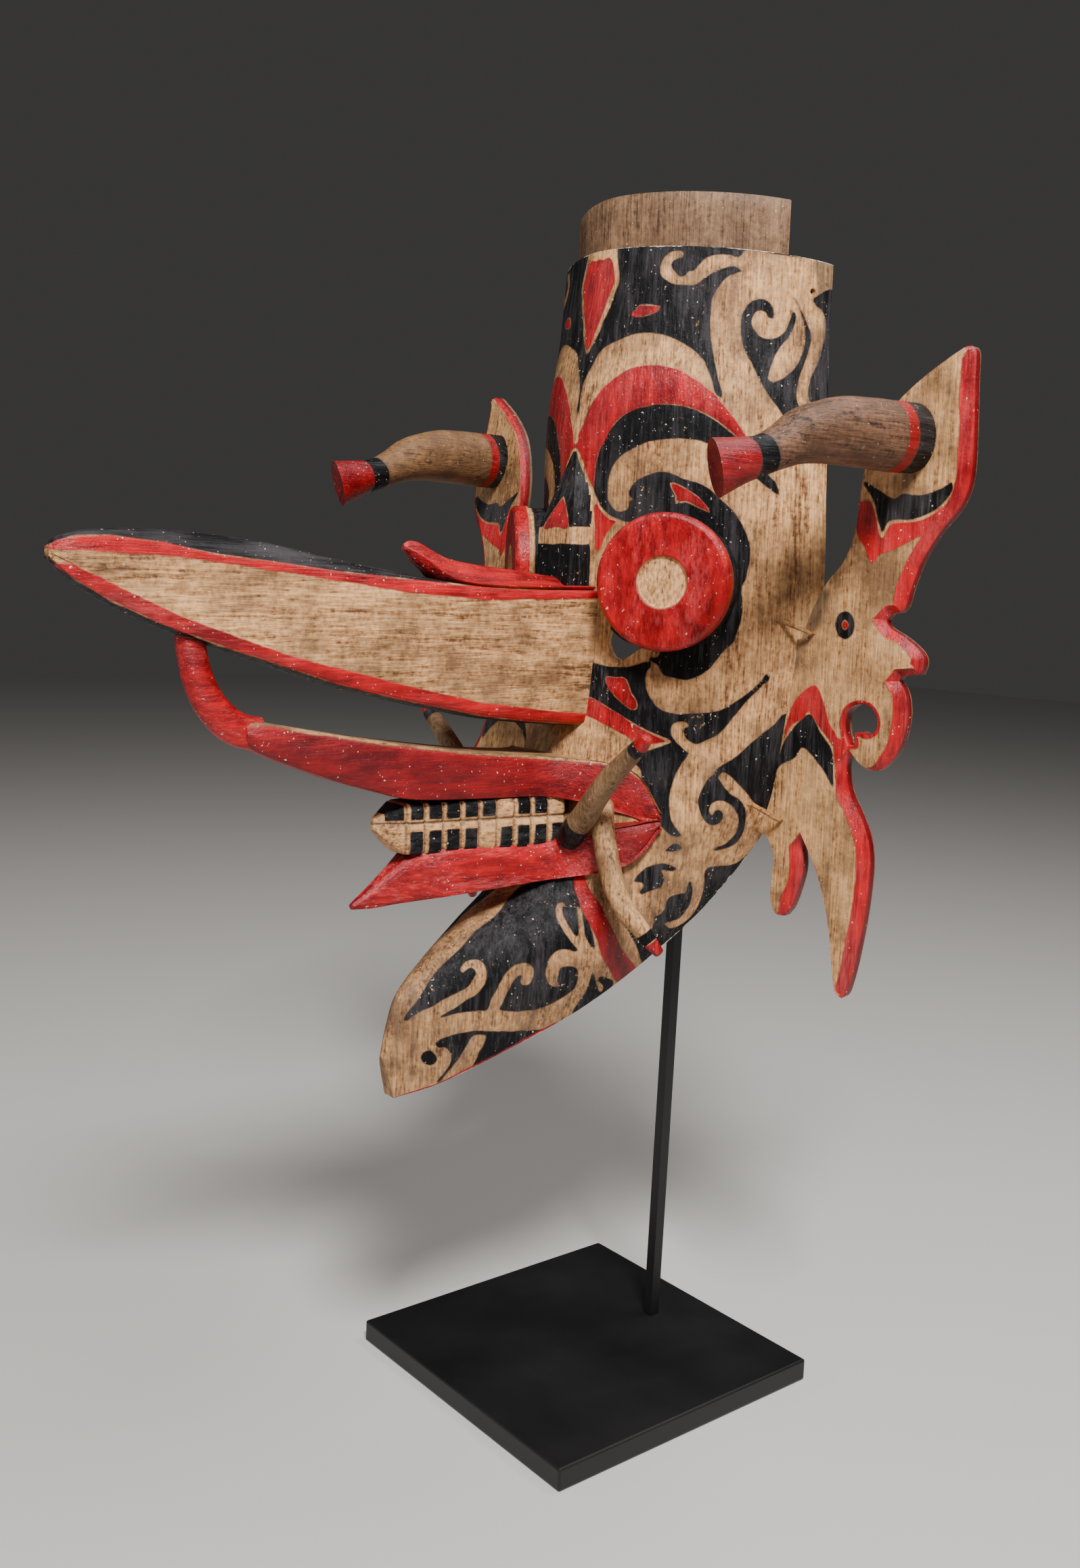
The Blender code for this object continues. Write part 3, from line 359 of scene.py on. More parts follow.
CHIN_BLACK = [
    (770, 1310), (735, 1350), (719, 1363.6), (707, 1372), (698, 1381), (686, 1396), (674, 1407.6),
    (657, 1424), (643, 1438.6), (633.6, 1453), (624, 1467), (614.5, 1481), (605, 1493),
    (596.7, 1506), (601, 1509), (609.8, 1503), (624, 1494.5), (638, 1488.6), (650, 1481),
    (664.5, 1473), (679, 1466), (690.7, 1459), (698, 1450.5), (704, 1441), (702.6, 1434),
    (695.5, 1430), (688, 1434), (683.6, 1437), (681, 1431.4), (686, 1424), (693, 1420), (705, 1419),
    (714.5, 1424), (719, 1436), (718, 1448), (712, 1460), (702.6, 1470.7), (688, 1479),
    (674, 1488.6), (662, 1495.7), (650, 1503), (634, 1512), (650, 1505), (667, 1500.5), (688, 1497),
    (707, 1494.5), (720, 1493), (726, 1479), (733.6, 1464.8), (740.7, 1450.5), (750, 1436),
    (759.8, 1428), (769, 1424), (778.8, 1424), (786, 1429), (788.8, 1436), (787, 1445.7),
    (782, 1454), (776, 1456), (770.5, 1454), (769, 1448), (772, 1443), (765.7, 1443), (757, 1453),
    (750, 1467), (743, 1481), (738, 1493), (755, 1495.7), (776, 1494.5), (795.5, 1491),
    (812, 1485), (828.8, 1476.7), (843, 1467), (851, 1457.6), (853.8, 1445.7), (852.6, 1434),
    (848, 1430), (836, 1429), (827.6, 1431.4), (825, 1443), (824, 1450.5), (827.6, 1456),
    (821.7, 1458.8), (814.5, 1457.6), (808.6, 1450.5), (807, 1438.6), (809.8, 1426.7),
    (814.5, 1414.8), (824, 1406), (836, 1404), (850, 1407.6), (855, 1403), (850, 1398),
    (840.7, 1386), (831, 1372), (824, 1357.6), (821.7, 1345.7), (824, 1336), (830, 1333.8),
    (836, 1336.7), (831, 1342), (831, 1350.5), (836, 1362), (843, 1374), (850, 1383.8),
    (855.5, 1382.6), (855, 1369.5), (852.6, 1350.5), (852.6, 1339.8), (858.6, 1343), (861, 1355),
    (863, 1369.5), (864.5, 1383.8), (871.7, 1398), (881, 1404), (872, 1367), (862, 1348),
    (855, 1329), (850, 1314.8), (846, 1290),
]
CHIN_LOWER_BLACK = [
    (643, 1543), (648, 1549), (657, 1548), (664.5, 1554), (667, 1564.8), (662, 1576.7), (655, 1586),
    (645.5, 1598), (650, 1600), (662, 1586), (671, 1574), (681, 1560), (690.7, 1544.5),
    (700, 1531), (717, 1531), (714.5, 1543), (707, 1555), (702.6, 1567), (698, 1580), (710, 1590),
    (830, 1530), (812, 1519), (793, 1523), (769, 1524), (745.5, 1523.8), (721.7, 1523.8),
    (702.6, 1523), (688, 1525.5), (669, 1530), (650, 1537),
]
CHIN_SPOT = [(646, 1564), (642, 1573), (634, 1575), (625.5, 1571), (622, 1563), (627, 1555), (637, 1553)]
CHIN_SPUR_BLACK = [
    (876.4, 1437), (879, 1450), (884, 1462), (888, 1466), (891, 1458), (884, 1448), (890.7, 1444.5),
    (907, 1453), (890, 1475), (850, 1500), (846, 1494), (857, 1479), (867, 1464.8), (871.7, 1450.5),
]
CHIN_STRAP_RED = [
    (848, 1285), (860, 1285), (874, 1319.5), (888, 1338.6), (898, 1360), (909.8, 1383.8),
    (921.7, 1407.6), (940.7, 1431.4), (940, 1450), (915, 1455), (900, 1431.4), (888, 1412),
    (881, 1388.6), (871.7, 1367), (862, 1348), (855, 1329), (850, 1314.8),
]
JAW_LEAF_BLACK = [
    (937, 1300), (943, 1292), (955, 1282), (968, 1278), (980, 1276), (990, 1279), (998, 1282),
    (1000, 1285), (997, 1288), (985, 1287), (977, 1286), (980, 1295), (980, 1303), (977, 1311),
    (965, 1316), (955, 1320), (949, 1323), (944, 1318), (950, 1312), (949, 1306), (943, 1305), (937, 1304),
]
JAW_DROP_BLACK = [
    (1020, 1302), (1017, 1305), (1015, 1315), (1013, 1320), (1000, 1322), (990, 1326), (984, 1334),
    (982, 1343), (975, 1352), (966, 1357), (985, 1363), (995, 1361), (1005, 1357), (1012, 1348),
    (1020, 1335), (1023, 1320), (1022, 1307),
]
JAW_EDGE_BLACK = [
    (1043, 1286), (1055, 1281), (1078, 1278), (1095, 1271), (1112, 1258), (1125, 1270), (1020, 1400),
    (975, 1425), (960, 1415), (952, 1405), (958, 1385), (968, 1362), (976, 1359), (982, 1366), (990, 1372),
    (1005, 1367), (1018, 1357), (1030, 1342), (1038, 1322), (1041, 1305),
]
JAW_SPOT = [(983, 1258), (988, 1252), (997, 1248), (1007, 1252), (1003, 1256), (990, 1259)]
JAW_TAIL = [
    (1052, 1254), (1060, 1257), (1078, 1253), (1091, 1243), (1099, 1227), (1101, 1210), (1097, 1193),
    (1092, 1193), (1094, 1210), (1092, 1225), (1084, 1238), (1070, 1248),
]
STRAP_SIDE_BLACK = [
    (898, 1330), (912, 1345), (925, 1365), (940, 1385), (955, 1400), (975, 1405), (975, 1440),
    (952, 1428), (940.7, 1400.5), (928.8, 1379), (919, 1364.8), (908, 1348),
]

along_head = np.linspace(0, LAST_STATION, HEAD_ROWS)
around_face = np.linspace(-1, 1, FACE_COLUMNS)
face_grid = head_surface(along_head, around_face)
around_hollow = np.linspace(1, -1, HOLLOW_COLUMNS)
widening = np.clip(along_head / THROAT_ENDS, 0, 1)
hollow_inset = SHELL_WALL + (THROAT_INSET - SHELL_WALL) * (1 - widening ** 2 * (3 - 2 * widening))
gouges = GOUGE_DEPTH * np.abs(np.sin(along_head[:, None] * 7 + around_hollow[None, :] * 2)
                              * np.sin(around_hollow[None, :] * 22 + along_head[:, None] * 1.3))
hollow_grid = head_surface(along_head, around_hollow, hollow_inset[:, None] + gouges)
floor_share = np.linspace(0, 1, HOLLOW_COLUMNS)[None, :, None]
chord = hollow_grid[:, :1] * (1 - floor_share) + hollow_grid[:, -1:] * floor_share
floor_ring = np.searchsorted(along_head, HOLLOW_ENDS)
hollow_grid[floor_ring:] = chord[floor_ring:]
rim_share = np.linspace(0, 1, RIM_COLUMNS + 2)[None, 1:-1, None]
left_rim = face_grid[:, -1:] * (1 - rim_share) + hollow_grid[:, :1] * rim_share
right_rim = hollow_grid[:, -1:] * (1 - rim_share) + face_grid[:, :1] * rim_share
head_rings = np.concatenate([face_grid, left_rim, hollow_grid, right_rim], axis=1)
floor_step = head_rings[floor_ring:floor_ring + 1].copy()
floor_step[:, FACE_COLUMNS + RIM_COLUMNS:FACE_COLUMNS + RIM_COLUMNS + HOLLOW_COLUMNS] = (
    head_surface(along_head[floor_ring:floor_ring + 1], around_hollow, SHELL_WALL))
head_rings = np.concatenate([head_rings[:floor_ring], floor_step, head_rings[floor_ring:]])
head = lofted("head", head_rings)

face_block = lofted("face_block", head_surface(np.linspace(0, LAST_STATION, 130),
                                               np.linspace(-1, 1, 111), -0.3))

EYE_CENTRE = np.array((76.0, -26.0))
EYE_HEIGHT = {1: 545.0, -1: 551.0}
EYE_TURN = np.radians(32)
SLIT_INNER = 36.0
SLIT_EDGE = [                 # turn in degrees, outer radius
    (188, 37), (200, 41), (212, 44.5), (219, 49), (224, 54.5), (228.5, 57.5), (233, 59.3),
    (237.5, 58.7), (240.5, 56), (243, 51.8), (246, 47), (250, 43.5), (256, 40), (262, 37),
]
SLIT_REACH = (-67.0, 5.0)


def eye_place(side, radius, turn, depth):
    """Turns a drum's own radius, turn and depth in front of its face into a place, in metres."""
    out = np.array((side * np.sin(EYE_TURN), -np.cos(EYE_TURN), 0.0))
    across = np.array((np.cos(EYE_TURN), side * np.sin(EYE_TURN), 0.0))
    centre = np.array((side * EYE_CENTRE[0], EYE_CENTRE[1], EYE_HEIGHT[side]))
    radius, turn, depth = np.broadcast_arrays(radius, turn, depth)
    return (centre + (radius * np.cos(turn))[..., None] * across
            + (radius * np.sin(turn))[..., None] * np.array((0, 0, 1.0))
            + depth[..., None] * out) * MM


slit_rows = curve_at(SLIT_EDGE, np.linspace(0, len(SLIT_EDGE) - 1, 60))
for side in (1, -1):
    near_turn = np.radians(slit_rows[:, 0])
    near_turn = near_turn if side == 1 else np.pi - near_turn
    radius = np.concatenate([np.full(60, SLIT_INNER), slit_rows[::-1, 1]])
    turns = np.concatenate([near_turn, near_turn[::-1]])
    slit = lofted("slit", np.array([eye_place(side, radius, turns, depth) for depth in SLIT_REACH]))
    carve(head, slit)
    bpy.data.objects.remove(slit)

CROWN_BORE = np.array((106, 61, 722.6))
CROWN_BORE_RADIUS, CROWN_BORE_REACH = 1.9, (-6, 8)
turn = np.linspace(0, 2 * np.pi, 20, endpoint=False)
ring = CROWN_BORE + CROWN_BORE_RADIUS * np.column_stack([0 * turn, np.cos(turn), np.sin(turn)])
bore = lofted("bore", np.array([(ring + (reach, 0, 0)) * MM for reach in CROWN_BORE_REACH]))
carve(head, bore)
bpy.data.objects.remove(bore)

head_pixels = mirrored_pixels(head)
HEAD_BLACK = [
    ("+", CROWN_BLACK), ("-", CROWN_LEAF_RING), ("-", CROWN_LENS), ("+", ARCH_BLACK),
    ("+", SWIRL_BLACK), ("-", SWIRL_RED), ("+", TEMPLE_BLACK), ("+", RIM_BLACK),
    ("+", CHEEK_BLACK), ("-", CHEEK_PETAL), ("+", JAW_BLACK), ("+", SCROLL_BLACK),
    ("+", CHIN_BLACK), ("+", CHIN_LOWER_BLACK), ("+", CHIN_SPOT), ("+", CHIN_SPUR_BLACK),
    ("+", STRAP_SIDE_BLACK), ("+", JAW_LEAF_BLACK), ("+", JAW_DROP_BLACK), ("+", JAW_EDGE_BLACK),
    ("+", JAW_SPOT), ("+", JAW_TAIL),
]
HEAD_RED = [
    ("+", CROWN_LEAF), ("+", CROWN_LENS), ("+", ARCH_RED), ("+", SWIRL_RED),
    ("+", DRUM_SIDE_RED), ("+", CHEEK_PETAL), ("+", CHEEK_STRAP_RED), ("+", CHIN_STRAP_RED),
]


def face_distance(points):
    """How far points lie from the nearest point of the face, in millimetres."""
    places = face_grid.reshape(-1, 3)
    tree = KDTree(len(places))
    for number, place in enumerate(places):
        tree.insert(place, number)
    tree.balance()
    return np.array([tree.find(point)[2] for point in points]) / MM


PAINT_REACH = 2.5             # how far behind the face its paint ends
CHIPPED_WIDTH, CHIPPED_SHARE = 1.8, 0.8
RIM_LINE_WIDTH, RIM_LINE_TOP, RIM_LINE_LEAN = 2.4, 268.0, 0.45
SHADE_TOP, SHADE_FADE, SHADE_MOST = 400.0, 150.0, 0.42   # painted shade under the cheeks and on the chin
HALO, HALO_FADE = 0.36, 12.0  # soil around the black, and how far it reaches
RIM_SOIL, RIM_SOIL_MOST, RIM_FADE = 0.4, 0.8, 12.0
HOLLOW_SOIL = 0.35
inside_wall = face_distance(points_of(head)) > PAINT_REACH
head_black = painted(head_pixels, HEAD_BLACK) / PIXELS_PER_MM
head_red = painted(head_pixels, HEAD_RED) / PIXELS_PER_MM
head_points = points_of(head) / MM
crown_front_y, crown_front_z, crown_rim_y, crown_rim_z = HEAD_STATIONS[0, (0, 1, 3, 4)]
crown_fall = (crown_front_z - crown_rim_z) / (crown_rim_y - crown_front_y)
under_crown = crown_front_z - (head_points[:, 1] - crown_front_y) * crown_fall - head_points[:, 2]
rim_y = np.interp(head_points[:, 2], HEAD_STATIONS[::-1, 4], HEAD_STATIONS[::-1, 3])
before_rim = rim_y - head_points[:, 1]
rim_line = np.minimum(RIM_LINE_WIDTH - before_rim, RIM_LINE_TOP - head_points[:, 2])
head_red = np.maximum(head_red, RIM_LINE_LEAN * rim_line)
head_edge = CHIPPED_SHARE * np.clip(1 - np.minimum(under_crown, before_rim + 0.6) / CHIPPED_WIDTH, 0, 1)
faded = np.clip(RIM_SOIL + painted(head_pixels, [("+", RIM_FADED)]) / RIM_FADE, 0, RIM_SOIL_MOST)
# Painted shade, deepening downwards under the cheeks and over the chin.
shade = np.clip((SHADE_TOP - head_points[:, 2]) / SHADE_FADE, 0, SHADE_MOST)
halo = np.clip(HALO + head_black / HALO_FADE, 0, HALO)
mark(head, black=np.where(inside_wall, UNPAINTED, head_black),
     red=np.where(inside_wall, UNPAINTED, head_red),
     soil=np.where(inside_wall, HOLLOW_SOIL, np.maximum(faded, np.maximum(halo, shade))),
     edge=np.where(inside_wall, 0, head_edge))


def add(tree, kind, wires=None, **settings):
    """One shader node: its settings, and its sockets' values or the sockets wired to them."""
    made = tree.nodes.new(kind)
    for name, value in settings.items():
        setattr(made, name, value)
    for name, value in (wires or {}).items():
        if isinstance(value, bpy.types.NodeSocket):
            tree.links.new(value, made.inputs[name])
        else:
            made.inputs[name].default_value = value
    return made


def calc(tree, operation, first, second=0.0, third=0.0):
    """One sum on numbers or sockets."""
    return add(tree, "ShaderNodeMath", {0: first, 1: second, 2: third}, operation=operation).outputs[0]


def mix(tree, share, first, second):
    """The first colour, turning into the second one as the share grows."""
    return add(tree, "ShaderNodeMix", {0: share, 6: first, 7: second}, data_type="RGBA").outputs[2]


def ranged(tree, value, low, high, to_low=0.0, to_high=1.0):
    """A value stretched from one range to another and kept inside it."""
    made = add(tree, "ShaderNodeMapRange", {"Value": value, "From Min": low, "From Max": high,
                                            "To Min": to_low, "To Max": to_high})
    return made.outputs[0]


def noise(tree, where, scale, detail, rough):
    """Cloudy noise in the object's own space."""
    made = add(tree, "ShaderNodeTexNoise", {"Vector": where, "Scale": scale, "Detail": detail,
                                            "Roughness": rough})
    return made.outputs[0]


PALE_WOOD = (0.78, 0.43, 0.19, 1)
TAN_WOOD = (0.40, 0.19, 0.075, 1)
DARK_WOOD = (0.115, 0.05, 0.02, 1)
STAIN = (0.075, 0.035, 0.017, 1)
CHARCOAL = (0.003, 0.0028, 0.0035, 1)
WORN_CHARCOAL = (0.04, 0.035, 0.037, 1)
FADED_CHARCOAL = (0.085, 0.077, 0.085, 1)
DEEP_RED = (0.17, 0.0015, 0.004, 1)
BRIGHT_RED = (0.50, 0.005, 0.009, 1)
# Worn chalky pink red, which also stands for painted sheen on the glossy red.
WORN_AND_SHEEN_RED = (0.68, 0.10, 0.10, 1)
CHIP_WHITE = (0.78, 0.70, 0.58, 1)
# Dark brown that the wood turns to, both for grime and for painted shade.
GRIME_AND_SHADE = (0.055, 0.04, 0.03, 1)
SHADED_RED = (0.05, 0.001, 0.003, 1)
NOISES = {
    # name: drawn out along the grain, scale, detail, roughness
    "fibres": (True, 700, 4, 0.65), "streaks": (True, 210, 3, 0.6), "bands": (True, 60, 3, 0.6),
    "mottle": (False, 330, 3, 0.6), "patches": (False, 15, 4, 0.6), "blots": (False, 55, 4, 0.6),
    "specks": (False, 560, 1, 0.4),
}


def weighed(tree, noises, **weights):
    """The sum of some of the noises, each times its weight."""
    total = 0.0
    for name, weight in weights.items():
        total = calc(tree, "MULTIPLY_ADD", noises[name], weight, total)
    return total


def wood_colour(tree, noises, soil, tones, stains, wear):
    """Fibres from dark to pale wood, with brown stains, grime and painted shade where marked, and chips."""
    pale, tan, dark = tones
    tone = weighed(tree, noises, fibres=0.6, streaks=0.35, mottle=0.35, bands=0.3)
    ramp = add(tree, "ShaderNodeValToRGB", {"Fac": ranged(tree, tone, 0.655, 0.90)})
    ramp.color_ramp.elements[0].color = dark
    ramp.color_ramp.elements[1].color = pale
    ramp.color_ramp.elements.new(0.35).color = tan
    stained = weighed(tree, noises, blots=0.6, patches=0.5, streaks=0.4)
    wood = mix(tree, ranged(tree, stained, 0.68, 0.9, 0, stains), ramp.outputs[0], STAIN)
    grime_and_shade_share = calc(tree, "ADD", soil, calc(tree, "MULTIPLY_ADD", noises["streaks"], 0.8, -0.4))
    wood = mix(tree, ranged(tree, grime_and_shade_share, 0.1, 1.0, 0, 0.9), wood, GRIME_AND_SHADE)
    return mix(tree, ranged(tree, noises["specks"], 0.76, 0.80, 0, wear), wood, CHIP_WHITE)


def black_colour(tree, noises, wear):
    """Mineral black, rubbed grey in streaks, with the wood showing through in flecks."""
    rubbed = weighed(tree, noises, patches=0.5, streaks=0.4, fibres=0.3)
    black = mix(tree, ranged(tree, rubbed, 0.56, 0.72), CHARCOAL, WORN_CHARCOAL)
    thin = weighed(tree, noises, fibres=0.6, bands=0.4)
    black = mix(tree, ranged(tree, thin, 0.58, 0.7, 0, 0.6), black, FADED_CHARCOAL)
    flecks = weighed(tree, noises, mottle=0.8, blots=0.35)
    return mix(tree, ranged(tree, flecks, 0.74, 0.78, 0, wear), black, TAN_WOOD)


def red_colour(tree, noises, soil, chalk_and_sheen):
    """Red in deeper and brighter patches, chalky along its strokes, partly as painted sheen, and darkened
    where marked by smudges and painted shade.
    """
    patchy = weighed(tree, noises, streaks=0.4, patches=0.3, blots=0.3)
    red = mix(tree, ranged(tree, patchy, 0.42, 0.58), DEEP_RED, BRIGHT_RED)
    chalky_sheen = weighed(tree, noises, bands=0.5, fibres=0.5)
    red = mix(tree, ranged(tree, chalky_sheen, 0.5, 0.68, 0, chalk_and_sheen), red, WORN_AND_SHEEN_RED)
    return mix(tree, ranged(tree, soil, 0, 1, 0, 0.9), red, SHADED_RED)


def painted_finish(name, grain=(1, 1, 0.07), tones=(PALE_WOOD, TAN_WOOD, DARK_WOOD), red_gloss=0.28,
                   wear=0.6, stains=0.75, chalk_and_sheen=0.4, bare=False):
    """Bare softwood with fibres along its grain, under worn black and glossy red where marked."""
    material = bpy.data.materials.new(name)
    material.use_nodes = True
    tree = material.node_tree
    shader = tree.nodes["Principled BSDF"]
    place = add(tree, "ShaderNodeTexCoord").outputs["Object"]
    drawn = add(tree, "ShaderNodeMapping", {"Vector": place, "Scale": grain}).outputs[0]
    noises = {key: noise(tree, drawn if along else place, scale, detail, rough)
              for key, (along, scale, detail, rough) in NOISES.items()}
    marks = dict(UNMARKED) if bare else {
        key: add(tree, "ShaderNodeAttribute", attribute_name=key).outputs["Fac"] for key in UNMARKED}

    wobble = calc(tree, "SUBTRACT", weighed(tree, noises, blots=2.2, fibres=1.6), 1.9)
    black_share, red_share = (ranged(tree, calc(tree, "ADD", marks[key], wobble), -0.4, 0.45)
                              for key in ("black", "red"))
    wood = wood_colour(tree, noises, marks["soil"], tones, stains, wear)
    base = mix(tree, black_share, wood, black_colour(tree, noises, wear))
    base = mix(tree, red_share, base, red_colour(tree, noises, marks["soil"], chalk_and_sheen))
    flaking = ranged(tree, weighed(tree, noises, blots=0.25, specks=1.0), 0.865, 0.90, 0, wear)
    flaking = calc(tree, "MULTIPLY", calc(tree, "MAXIMUM", black_share, red_share), flaking)
    base = mix(tree, flaking, base, CHIP_WHITE)
    chipped = calc(tree, "ADD", weighed(tree, noises, blots=0.9, mottle=0.5), marks["edge"])
    base = mix(tree, ranged(tree, chipped, 1.42, 1.55), base, CHIP_WHITE)
    tree.links.new(base, shader.inputs["Base Color"])

    dull = ranged(tree, noises["mottle"], 0.3, 0.7, 0.40, 0.6)
    gloss = ranged(tree, noises["blots"], 0.3, 0.7, red_gloss, red_gloss + 0.16)
    rough = calc(tree, "ADD", calc(tree, "MULTIPLY", dull, calc(tree, "SUBTRACT", 1.0, red_share)),
                 calc(tree, "MULTIPLY", gloss, red_share))
    tree.links.new(rough, shader.inputs["Roughness"])
    shine = calc(tree, "MULTIPLY_ADD", red_share, 0.1, calc(tree, "MULTIPLY_ADD", black_share, -0.1, 0.25))
    tree.links.new(shine, shader.inputs["Specular IOR Level"])
    coats = calc(tree, "MULTIPLY_ADD", black_share, 0.1, calc(tree, "MULTIPLY", red_share, 0.25))
    height = calc(tree, "ADD", weighed(tree, noises, fibres=0.8, mottle=0.4, streaks=0.6), coats)
    bump = add(tree, "ShaderNodeBump", {"Height": height, "Strength": 0.8, "Distance": 0.0011})
    tree.links.new(bump.outputs[0], shader.inputs["Normal"])
    return material


def dress(piece, material, slot, *nodes):
    """Gives a piece its finish and ties it to the frame."""
    piece.data.materials.clear()
    piece.data.materials.append(material)
    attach(piece, "root")
    if nodes:
        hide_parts(*nodes)


head_finish = painted_finish("head_finish")
dress(head, head_finish, "painted_wood", "mask_head")

face_sheet = np.array([(row * FACE_COLUMNS + column, row * FACE_COLUMNS + column + 1,
                        (row + 1) * FACE_COLUMNS + column + 1, (row + 1) * FACE_COLUMNS + column)
                       for row in range(HEAD_ROWS - 1) for column in range(FACE_COLUMNS - 1)])
face_tree = BVHTree.FromPolygons(face_grid.reshape(-1, 3).tolist(), face_sheet.tolist())
SEAT_DEPTH = 2.5


def seat(piece):
    """Draws all points that lie deeper than the seat under the face forward to that depth, along
    y, so that a piece let into the mask ends inside its wall."""
    points = points_of(piece)
    for point in points:
        hit = face_tree.ray_cast((point[0], -1.0, point[2]), (0, 1, 0))[0]
        if hit is not None:
            point[1] = min(point[1], hit[1] + SEAT_DEPTH * MM)
    piece.data.vertices.foreach_set("co", points.ravel())
    piece.data.update()


# Collar
# A rim of raw greyish wood left standing on the crown, cut off square in front of the mask's open
# back. It was never painted, and is stained brown.
COLLAR_OUTER, COLLAR_INNER = 8.0, 15.0
COLLAR_FOOT, COLLAR_TOP, COLLAR_EDGE = -12.0, 34.5, 1.0
COLLAR_END_Y = 52.0
collar_around = np.linspace(-1, 1, 201)
outer_line = head_surface(np.zeros(1), collar_around, COLLAR_OUTER)[0]
inner_line = head_surface(np.zeros(1), collar_around, COLLAR_INNER)[0]
outer_line = outer_line[outer_line[:, 1] < COLLAR_END_Y * MM]
inner_line = inner_line[inner_line[:, 1] < COLLAR_END_Y * MM]
resample = np.linspace(0, 1, 161)
outer_line, inner_line = (np.column_stack([np.interp(resample, np.linspace(0, 1, len(line)), column)
                                           for column in line.T]) for line in (outer_line, inner_line))
collar_section = np.array([   # share of the wall from outside to inside, height over the crown
    (0, COLLAR_FOOT), (0, -6), (0, 0), (0, 8), (0, 16), (0, 26), (0, COLLAR_TOP - COLLAR_EDGE),
    (0.05, COLLAR_TOP - 0.3), (0.15, COLLAR_TOP), (0.4, COLLAR_TOP), (0.65, COLLAR_TOP),
    (0.88, COLLAR_TOP), (0.97, COLLAR_TOP - 0.4), (1, COLLAR_TOP - COLLAR_EDGE), (1, 20), (1, 8),
    (1, 0), (1, COLLAR_FOOT),
])
collar_rings = (outer_line[:, None] * (1 - collar_section[:, 0])[None, :, None]
                + inner_line[:, None] * collar_section[:, 0][None, :, None])
collar_rings[..., 2] += collar_section[:, 1] * MM
collar = lofted("collar", collar_rings)
mark(collar)
COLLAR_TONES = (0.29, 0.165, 0.09, 1), (0.14, 0.074, 0.037, 1), (0.045, 0.022, 0.011, 1)
dress(collar, painted_finish("collar_finish", tones=COLLAR_TONES), "painted_wood")


# Nose block
# The upright pyramid between the brows, carved with the head. Its front is painted black and red
# round a bare stripe, and its flanks are worn bare.
NOSE_TOP, NOSE_SHOULDER, NOSE_FOOT = 630.0, 577.0, 535.0
NOSE_HALF_FRONT, NOSE_HALF_BACK = 16.5, 19.0
NOSE_FRONT_Y, NOSE_BACK_Y = -50.0, -27.0
NOSE_FRONT_LEAN, NOSE_RIDGE_LEAN, NOSE_FRONT_END, NOSE_BACK_RISE = 2.0, 15.0, -34.0, 24
NOSE_TRIANGLE = [(827, 726), (840, 778), (822, 779), (797, 779)]
NOSE_STRIPE = (779, 804)
nose_rows = np.linspace(0, 1, 60)
nose_across = np.linspace(-1, 1, 41)


def nose_front(rise, share):
    """The block's front: flat below the shoulder, drawn in straight to the ridge's point above."""
    height = NOSE_FOOT + (NOSE_TOP - NOSE_FOOT) * rise
    above = np.clip((height - NOSE_SHOULDER) / (NOSE_TOP - NOSE_SHOULDER), 0, 1)
    half = NOSE_HALF_FRONT * (1 - above)
    below = np.clip((height - NOSE_FOOT) / (NOSE_SHOULDER - NOSE_FOOT), 0, 1)
    y = NOSE_FRONT_Y + NOSE_FRONT_LEAN * below + NOSE_RIDGE_LEAN * above
    return half * share, y, height


rise, share = np.meshgrid(nose_rows, nose_across, indexing="ij")
x, y, z = nose_front(rise, share)
front_sheet = np.stack([x, y, z], axis=2)
back_shoulder = NOSE_SHOULDER + NOSE_BACK_RISE
above = np.clip((z - back_shoulder) / (NOSE_TOP - back_shoulder), 0, 1)
back_sheet = np.stack([NOSE_HALF_BACK * (1 - above) * share, NOSE_BACK_Y + 0 * z, z], axis=2)
depths = np.linspace(0, 1, 14)[:, None, None]
left_flank = front_sheet[None, :, -1] * (1 - depths) + back_sheet[None, :, -1] * depths
right_flank = back_sheet[None, :, 0] * (1 - depths) + front_sheet[None, :, 0] * depths
nose_rings = np.concatenate([front_sheet, left_flank.transpose(1, 0, 2)[:, 1:],
                             back_sheet[:, ::-1][:, 1:], right_flank.transpose(1, 0, 2)[:, 1:-1]],
                            axis=1) * MM
nose = lofted("nose_block", nose_rings, sharp=28)
nose_pixels = mirrored_pixels(nose)
nose_points = points_of(nose) / MM
stripe = np.minimum(nose_pixels[:, 1] - NOSE_STRIPE[0], NOSE_STRIPE[1] - nose_pixels[:, 1])
on_front = nose_points[:, 1] < NOSE_FRONT_END
nose_red = painted(nose_pixels, [("+", NOSE_TRIANGLE)])
mark(nose, black=np.where(on_front, np.minimum(-stripe, -nose_red), -6) / PIXELS_PER_MM,
     red=np.where(on_front, nose_red, OUTSIDE) / PIXELS_PER_MM)
dress(nose, head_finish, "painted_wood")


# Snout
# A long beak carved from its own board and let into the face: flat bare sides between two red
# edges, a low black ridge on top and a black underside.
SNOUT_STATIONS = [
    # y, half width, top edge z, lower edge z, ridge rise, keel drop
    (-15, 23.0, 538, 452, 1.0, 3.0), (-45, 21.5, 538, 455, 1.0, 3.0), (-80, 20.0, 537.5, 458, 1.5, 3.0),
    (-112, 18.5, 538, 462, 2.0, 3.0), (-143, 17.0, 540, 468, 3.0, 3.0), (-173, 15.6, 542, 474, 5.0, 3.0),
    (-215, 13.7, 545, 484, 8.5, 3.0), (-253, 12.0, 549, 496, 11.0, 3.0), (-286, 10.6, 552, 506, 11.0, 3.0),
    (-317, 9.3, 557, 517, 7.5, 3.0), (-343, 8.2, 559.5, 528, 4.0, 2.5), (-360, 7.0, 558.5, 538, 3.0, 2.0),
    (-369, 5.0, 556, 545, 2.0, 1.5), (-373, 2.2, 553, 550, 0.8, 0.8),
]
SNOUT_ROWS = 260


